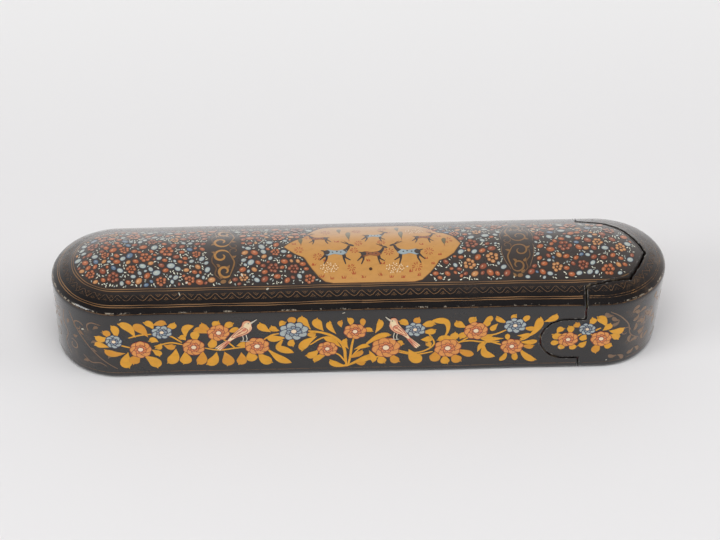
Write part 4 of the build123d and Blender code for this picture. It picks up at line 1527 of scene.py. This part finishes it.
def lip_tree():
    """A round bead of uneven thickness along a line."""
    nodes = Nodes("lip_on_line", Radius="Float", Unevenness="Float", Step="Float",
                  Material="Material")
    curve = nodes.node("GeometryNodeMeshToCurve", {"Mesh": nodes.given("Geometry")})
    curve = nodes.node("GeometryNodeResampleCurve", {"Curve": curve, "Length": nodes.given("Step")},
                       mode="LENGTH")
    noise = nodes.node("ShaderNodeTexNoise", {"Scale": 420.0, "Detail": 2.0})
    uneven = nodes.node("ShaderNodeMath", {0: noise, 1: nodes.given("Unevenness")},
                        operation="MULTIPLY")
    thick = nodes.node("ShaderNodeMath", {0: uneven, 1: 0.45}, operation="ADD")
    curve = nodes.node("GeometryNodeSetCurveRadius", {"Curve": curve, "Radius": thick})
    ring = nodes.node("GeometryNodeCurvePrimitiveCircle",
                      {"Resolution": 8, "Radius": nodes.given("Radius")})
    bead = nodes.node("GeometryNodeCurveToMesh",
                      {"Curve": curve, "Profile Curve": ring, "Fill Caps": True})
    real = nodes.node("GeometryNodeRealizeInstances", {"Geometry": bead})
    nodes.result(nodes.node("GeometryNodeSetMaterial",
                            {"Geometry": real, "Material": nodes.given("Material")}))
    return nodes


def cut_edge(kerf, lift):
    """Points along one edge of the cut, from the front's foot over the top to the back's."""
    wall = [(x, z) for x, z in side_line(kerf) if 0.9 < z < SHOULDER_CENTRE[1]]
    top = tongue_line(kerf)
    root = CUT_X - kerf
    points = [on_wall(x, z, lift) for x, z in wall]
    points += [on_dome(root, -y, lift) for y in np.linspace(DOME_EDGE_Y, -top[0][1] + 0.4, 12)]
    points += [on_dome(x, y, lift) for x, y in top]
    points += [on_dome(root, y, lift) for y in np.linspace(top[-1][1] + 0.4, DOME_EDGE_Y, 12)]
    return points + [on_far_wall(x, z, lift) for x, z in wall[::-1]]


def frayed_lacquer():
    """Dark broken edge of the lacquer, with a pale chip here and there."""
    finish = Finish("frayed_lacquer", Roughness=0.30, Coat_Weight=0.6, Coat_Roughness=0.14)
    tone = finish.noise(900.0, 3.0)
    colour = finish.mixed(tone, rgb(20, 18, 18), rgb(52, 46, 43))
    chips = finish.step(finish.noise(560.0, 2.0), 0.56, 0.64)
    return finish.wear(Base_Color=finish.mixed(chips * 0.42, colour, rgb(160, 154, 146)))


LIP, LIP_FINISH = lip_tree(), frayed_lacquer()
for lip_name, body, kerf in (("sleeve_lip", "sleeve", KERF + LIP_SET_BACK),
                             ("cap_lip", "tray", -LIP_SET_BACK)):
    points = cut_edge(kerf, -LIP_DEPTH)
    edges = [(k, k + 1) for k in range(len(points) - 1)]
    mesh = bpy.data.meshes.new(lip_name)
    mesh.from_pydata([np.array(q) * MM for q in points], edges, [])
    lip = shown(lip_name, mesh)
    LIP.run(lip, Radius=LIP_RADIUS * MM, Unevenness=1.1, Step=LIP_STEP * MM, Material=LIP_FINISH)
    lip.data.shade_smooth()
    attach(lip, body)

# Tray trough. Thin papier-mache in red lacquer with a gilt scroll along its walls, glued into
# the cap at its right end. The pens lie in it, and the inkwell stands at the cap's end.
TRAY_INSET = 4.6
TRAY_OUTSIDE = 2.8
TRAY_FLOOR_Z = 4.8
TRAY_BOTTOM_Z = 2.8
TRAY_RIM_Z = 33.0
GILT = (rgb(206, 158, 72), rgb(140, 94, 38))
SCROLL_PITCH = 12.6
SCROLL_Z = 18.0
GILT_LINES_Z = (9.0, 10.2, 25.8, 27.0)
GILT_INNER_Z = 30.0


def red_lacquer():
    finish = Finish("red_tray_lacquer", Coat_Weight=0.3, Coat_Roughness=0.15)
    cloud = finish.noise(60.0, 4.0, 0.6)
    stain = finish.step(finish.noise(26.0, 4.0, 0.65), 0.50, 0.68)
    scratch = finish.step(finish.noise(240.0, 2.0, 0.5, (0.12, 1.0, 1.0)), 0.64, 0.72)
    ground = finish.mixed(cloud, rgb(112, 30, 22), rgb(146, 46, 30))
    ground = finish.mixed(stain * 0.45, ground, rgb(54, 24, 20))
    ground = finish.mixed(scratch * 0.25, ground, rgb(178, 104, 70))
    rough = 0.30 + cloud * 0.14 + scratch * 0.12
    normal = finish.bump(finish.noise(210.0, 3.0) * 0.6 - scratch * 0.3, 0.00012, 0.4)
    return finish.wear(Base_Color=ground, Roughness=rough, Normal=normal)


def trough_section():
    """From the middle of the floor up inside the wall, over its round rim and down outside."""
    floor_end = (wall_at(TRAY_INSET + BORE_RADIUS, TRAY_FLOOR_Z), TRAY_FLOOR_Z)
    floor_line = line((0.0, TRAY_FLOOR_Z), floor_end, 3.0)
    corner = foot_arc(TRAY_INSET, TRAY_FLOOR_Z, BORE_RADIUS, 0.3)[::-1]
    round_off = (TRAY_INSET - TRAY_OUTSIDE) / 2
    rim_z = TRAY_RIM_Z - round_off
    rim_y = wall_at(TRAY_INSET - round_off, rim_z)
    rim = [(rim_y + round_off * cos(a), rim_z + round_off * sin(a)) for a in np.linspace(pi, 0, 9)]
    foot = foot_arc(TRAY_OUTSIDE, TRAY_BOTTOM_Z, 0.5, 0.3)
    section = floor_line + corner[1:] + line(corner[-1], rim[0], 2.5)[1:] + rim[1:]
    section += line(rim[-1], foot[0], 2.5)[1:] + foot[1:]
    return section + line(foot[-1], (0.0, TRAY_BOTTOM_Z), 4.0)[1:]


RED_LACQUER = red_lacquer()
points, faces = around(trough_section(), step=2.0)
tray_trough = shown("trough", plain_mesh("trough", points, faces), RED_LACQUER)
tray_trough.data.shade_smooth()
tray_trough.data.set_sharp_from_angle(angle=radians(50))
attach(tray_trough, "tray")
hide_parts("tray_trough")


def on_tray_side(s, z, lift):
    """A point on the outside of the trough's wall."""
    x, dx, dy = heading(s)
    reach = wall_at(TRAY_OUTSIDE, z) + lift
    return x + dx * reach, dy * reach, z


def on_tray_inside(s, z, lift):
    """A point on the inside of the trough's wall."""
    x, dx, dy = heading(s)
    reach = wall_at(TRAY_INSET, z) - lift
    return x + dx * reach, dy * reach, z


def gilt_scroll():
    """One wave of the scroll with a curl and three leaves on either side of it."""
    painting = Painting(flat)
    wave = [(-6.0, -1.6), (-3.0, 1.5), (0.0, 1.5), (3.0, -1.6), (6.0, -1.6)]
    painting.stroke(wave, 0.5, GILT, step=1.4, taper=0.8)
    for side in (-1, 1):
        hooked = [(x * side, y * side) for x, y in curl(2.4, 2.0, 1.9, 0.6, 3.4, -5.0)]
        painting.stroke(hooked, 0.4, GILT, step=0.9)
        for x, y, turn in ((3.6, -0.6, 1.0), (1.4, 0.2, -0.9), (4.9, -1.6, -1.3)):
            tip = (side * (x + 2.2 * cos(turn)), side * (y + 2.2 * sin(turn)))
            painting.leaf((side * x, side * y), tip, GILT, 0.5)
    return motif("gilt_scroll", painting)


def tray_gilding():
    """A running scroll outside and plain lines inside, all gilt."""
    figure = gilt_scroll()
    count = round(LOOP / SCROLL_PITCH)
    places = [(on_tray_side, (k + 0.5) * LOOP / count, SCROLL_Z, 0.0, 1.0, GILT)
              for k in range(count)]
    scroll = repeat_mesh("tray_scroll", figure, places, PAINT)
    bpy.data.objects.remove(figure)
    rounds = once_round(360)
    lines = Painting(on_tray_side)
    for z in GILT_LINES_Z:
        lines.ribbon([(s, z) for s in rounds], [0.4] * len(rounds), GILT)
    inner = Painting(on_tray_inside)
    wavering = [(s, GILT_INNER_Z + 0.1 * sin(s / 7)) for s in rounds]
    inner.ribbon(wavering, [0.5] * len(rounds), GILT)
    for name, mesh in (("tray_scroll", scroll), ("tray_lines", lines.mesh("tray_lines")),
                       ("tray_inner_line", inner.mesh("tray_inner_line"))):
        mesh.shade_smooth()
        mesh.materials.clear()
        piece = shown(name, mesh, PAINT)
        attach(piece, "tray")


tray_gilding()

# Partition: a small lacquered board that stands across the tray and keeps the pens off the
# inkwell.
partition = bpy.data.objects["tray_partition"]
partition.data.materials[0] = RED_LACQUER

# Inkwell. A brass box with rounded corners, its top plate soldered on, a round neck for the
# mouth and a small domed lid on a pin between two ears.
WELL_X = 102.0
WELL_MIDDLE = (WELL_X * MM, 0.0, 0.0)


def brass(name, rings=()):
    """Cast and turned brass, dull brown in the hollows, with turned rings round the mouth."""
    finish = Finish(name, Metallic=1.0)
    cloud = finish.noise(120.0, 4.0, 0.6)
    tarnish = finish.step(finish.noise(70.0, 5.0, 0.65), 0.46, 0.66)
    ink = finish.step(finish.noise(180.0, 3.0, 0.6), 0.60, 0.70)
    colour = finish.mixed(cloud, rgb(196, 152, 74), rgb(224, 184, 104))
    colour = finish.mixed(tarnish * 0.55, colour, rgb(116, 82, 42))
    colour = finish.mixed(ink * 0.35, colour, rgb(44, 36, 32))
    rough = 0.26 + cloud * 0.12 + tarnish * 0.18
    relief = finish.noise(900.0, 3.0) * 0.3
    if rings:
        where = finish.node("Mapping", {"Vector": finish.spot(), "Scale": (1, 1, 0),
                                        "Location": (-WELL_MIDDLE[0], 0, 0)})
        reach = finish.node("VectorMath", {0: where}, "Value", operation="LENGTH")
        for ring in rings:
            off = (reach - ring * MM).maths("ABSOLUTE")
            relief = relief - finish.step(off, 0.34 * MM, 0.10 * MM) * 1.2
    return finish.wear(Base_Color=colour, Roughness=rough, Normal=finish.bump(relief, 0.00012, 0.6))


TURNED_RINGS = (2.4, 3.4, 6.4, 9.2, 11.8)  # radius of each
BRASS = brass("old_brass")
TURNED_BRASS = brass("turned_brass", rings=TURNED_RINGS)
for node, finish in (("inkwell_cup", BRASS), ("inkwell_top", TURNED_BRASS), ("hinge_ears", BRASS),
                     ("hinge_pin", BRASS), ("inkwell_lid", TURNED_BRASS), ("lid_knob", BRASS)):
    bpy.data.objects[node].data.materials[0] = finish

# Ink wad: a flat ball of raw silk floss, soaked black with ink, pressed into the inkwell. The
# pen is dipped against it.
WAD_RADIUS = 13.0
WAD_FOOT_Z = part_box("ink_wad")[0][2] / MM
WAD_HEIGHT = 7.0
WAD_ROWS = 26
WAD_COLUMNS = 72


def silk():
    finish = Finish("inked_silk", Roughness=0.55)
    thread = finish.noise(1400.0, 3.0, 0.6, (0.3, 1.0, 1.0))
    colour = finish.mixed(thread, rgb(16, 15, 20), rgb(52, 48, 52))
    return finish.wear(Base_Color=colour, Normal=finish.bump(thread, 0.0003, 0.7))


def wad_mesh():
    """A flattened ball whose face is matted into shallow lumps."""
    points = []
    for k in range(WAD_ROWS + 1):
        lean = pi * k / WAD_ROWS
        rise = WAD_HEIGHT / 2 * (1 + cos(lean))
        for m in range(WAD_COLUMNS):
            a = 2 * pi * m / WAD_COLUMNS
            broad = 0.035 * (1 + sin(5 * a + 3 * lean) * cos(7 * lean))
            small = 0.02 * (1 + sin(13 * a))
            reach = WAD_RADIUS * abs(sin(lean)) ** 0.55 * (1 - broad - small)
            points.append((WELL_X + reach * cos(a), reach * sin(a), WAD_FOOT_Z + rise * 0.97 + 0.1))
    faces = []
    for k in range(WAD_ROWS):
        low, high = k * WAD_COLUMNS, (k + 1) * WAD_COLUMNS
        for m in range(WAD_COLUMNS):
            n = (m + 1) % WAD_COLUMNS
            faces.append((low + m, low + n, high + n, high + m))
    return plain_mesh("wad", points, faces)


SILK = silk()
wad = shown("silk_wad", wad_mesh(), SILK)
wad.data.shade_smooth()
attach(wad, "tray")
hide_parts("ink_wad")

# Stage: a pale floor, soft light from both sides and a camera where the photograph's was.
# The light end of the room is behind the box and the dark end is behind the camera.
CAMERA_ELEVATION = 40.187
CAMERA_TURN = 2.696
CAMERA_ROLL = -0.531
CAMERA_DISTANCE = 1.2187
CAMERA_TARGET = (0.274 * MM, 0.0, 35.097 * MM)
PHOTO_WIDTH = 720
FOCAL_PIXELS = 2779.0


def photo_camera():
    lens = bpy.data.cameras.new("camera")
    lens.sensor_width = 36.0
    lens.lens = FOCAL_PIXELS / PHOTO_WIDTH * lens.sensor_width
    lens.clip_start = 0.05
    camera = bpy.data.objects.new("camera", lens)
    tilt = Matrix.Rotation(radians(90 - CAMERA_ELEVATION), 4, "X")
    turn = Matrix.Rotation(radians(-CAMERA_TURN), 4, "Z")
    roll = Matrix.Rotation(radians(-CAMERA_ROLL), 4, "Z")
    facing = turn @ tilt @ roll
    back = facing @ Vector((0, 0, CAMERA_DISTANCE))
    camera.matrix_world = Matrix.Translation(Vector(CAMERA_TARGET) + back) @ facing
    bpy.context.scene.collection.objects.link(camera)
    bpy.context.scene.camera = camera


def floor():
    finish = Finish("pale_paper", Roughness=0.9)
    finish.shader.inputs["Specular IOR Level"].default_value = 0.1
    # Painted light: the floor is painted lighter towards the back, where the light falls brighter.
    depth = finish.node("SeparateXYZ", {0: finish.spot()}, output=1)
    back_painted_light = finish.step(depth, 0.06, 0.46)
    finish.wear(Base_Color=finish.mixed(back_painted_light, rgb(225, 224, 225), rgb(248, 248, 248)))
    reach = 4000.0
    points = [(-reach, -reach, 0), (reach, -reach, 0), (reach, reach, 0), (-reach, reach, 0)]
    sheet = shown("floor", plain_mesh("floor", points, [(0, 1, 2, 3)]), finish.material)


def lamp(name, place, size, power, mirrored=True):
    """A soft lamp. Those that stand for bounced light aren't mirrored in the lacquer."""
    light = bpy.data.lights.new(name, "AREA")
    light.shape = "RECTANGLE"
    light.size, light.size_y = size
    light.energy = power
    holder = bpy.data.objects.new(name, light)
    holder.location = place
    holder.visible_glossy = mirrored
    holder.rotation_euler = (-Vector(place)).to_track_quat("-Z", "Y").to_euler()
    bpy.context.scene.collection.objects.link(holder)


def room():
    """Light that comes from all round, brightest low down behind the box."""
    world = bpy.data.worlds.new("room")
    bpy.context.scene.world = world
    world.use_nodes = True
    tree = world.node_tree
    ground = tree.nodes["Background"]
    where = tree.nodes.new("ShaderNodeTexCoord")
    split = tree.nodes.new("ShaderNodeSeparateXYZ")
    tree.links.new(where.outputs["Generated"], split.inputs[0])
    height = tree.nodes.new("ShaderNodeMath")
    height.operation = "MULTIPLY_ADD"
    height.inputs[1].default_value = -0.6
    height.inputs[2].default_value = 0.52
    tree.links.new(split.outputs["Z"], height.inputs[0])
    behind = tree.nodes.new("ShaderNodeMath")
    behind.operation = "MULTIPLY_ADD"
    behind.inputs[1].default_value = 0.58
    tree.links.new(split.outputs["Y"], behind.inputs[0])
    tree.links.new(height.outputs[0], behind.inputs[2])
    ramp = tree.nodes.new("ShaderNodeValToRGB")
    ramp.color_ramp.elements[0].position = 0.0
    ramp.color_ramp.elements[0].color = (0.07, 0.07, 0.07, 1)
    ramp.color_ramp.elements[1].position = 1.0
    ramp.color_ramp.elements[1].color = (0.98, 0.96, 0.95, 1)
    tree.links.new(behind.outputs[0], ramp.inputs[0])
    tree.links.new(ramp.outputs["Color"], ground.inputs["Color"])
    ground.inputs["Strength"].default_value = 1.0


photo_camera()
floor()
room()
lamp("left_window", (-1.95, -0.85, 1.2), (0.95, 0.85), 17)
lamp("right_window", (2.3, -0.3, 0.9), (1.3, 1.1), 18, mirrored=False)
lamp("ceiling", (0.0, -0.88, 2.1), (2.2, 2.2), 44, mirrored=False)
bpy.context.scene.view_settings.view_transform = "Standard"
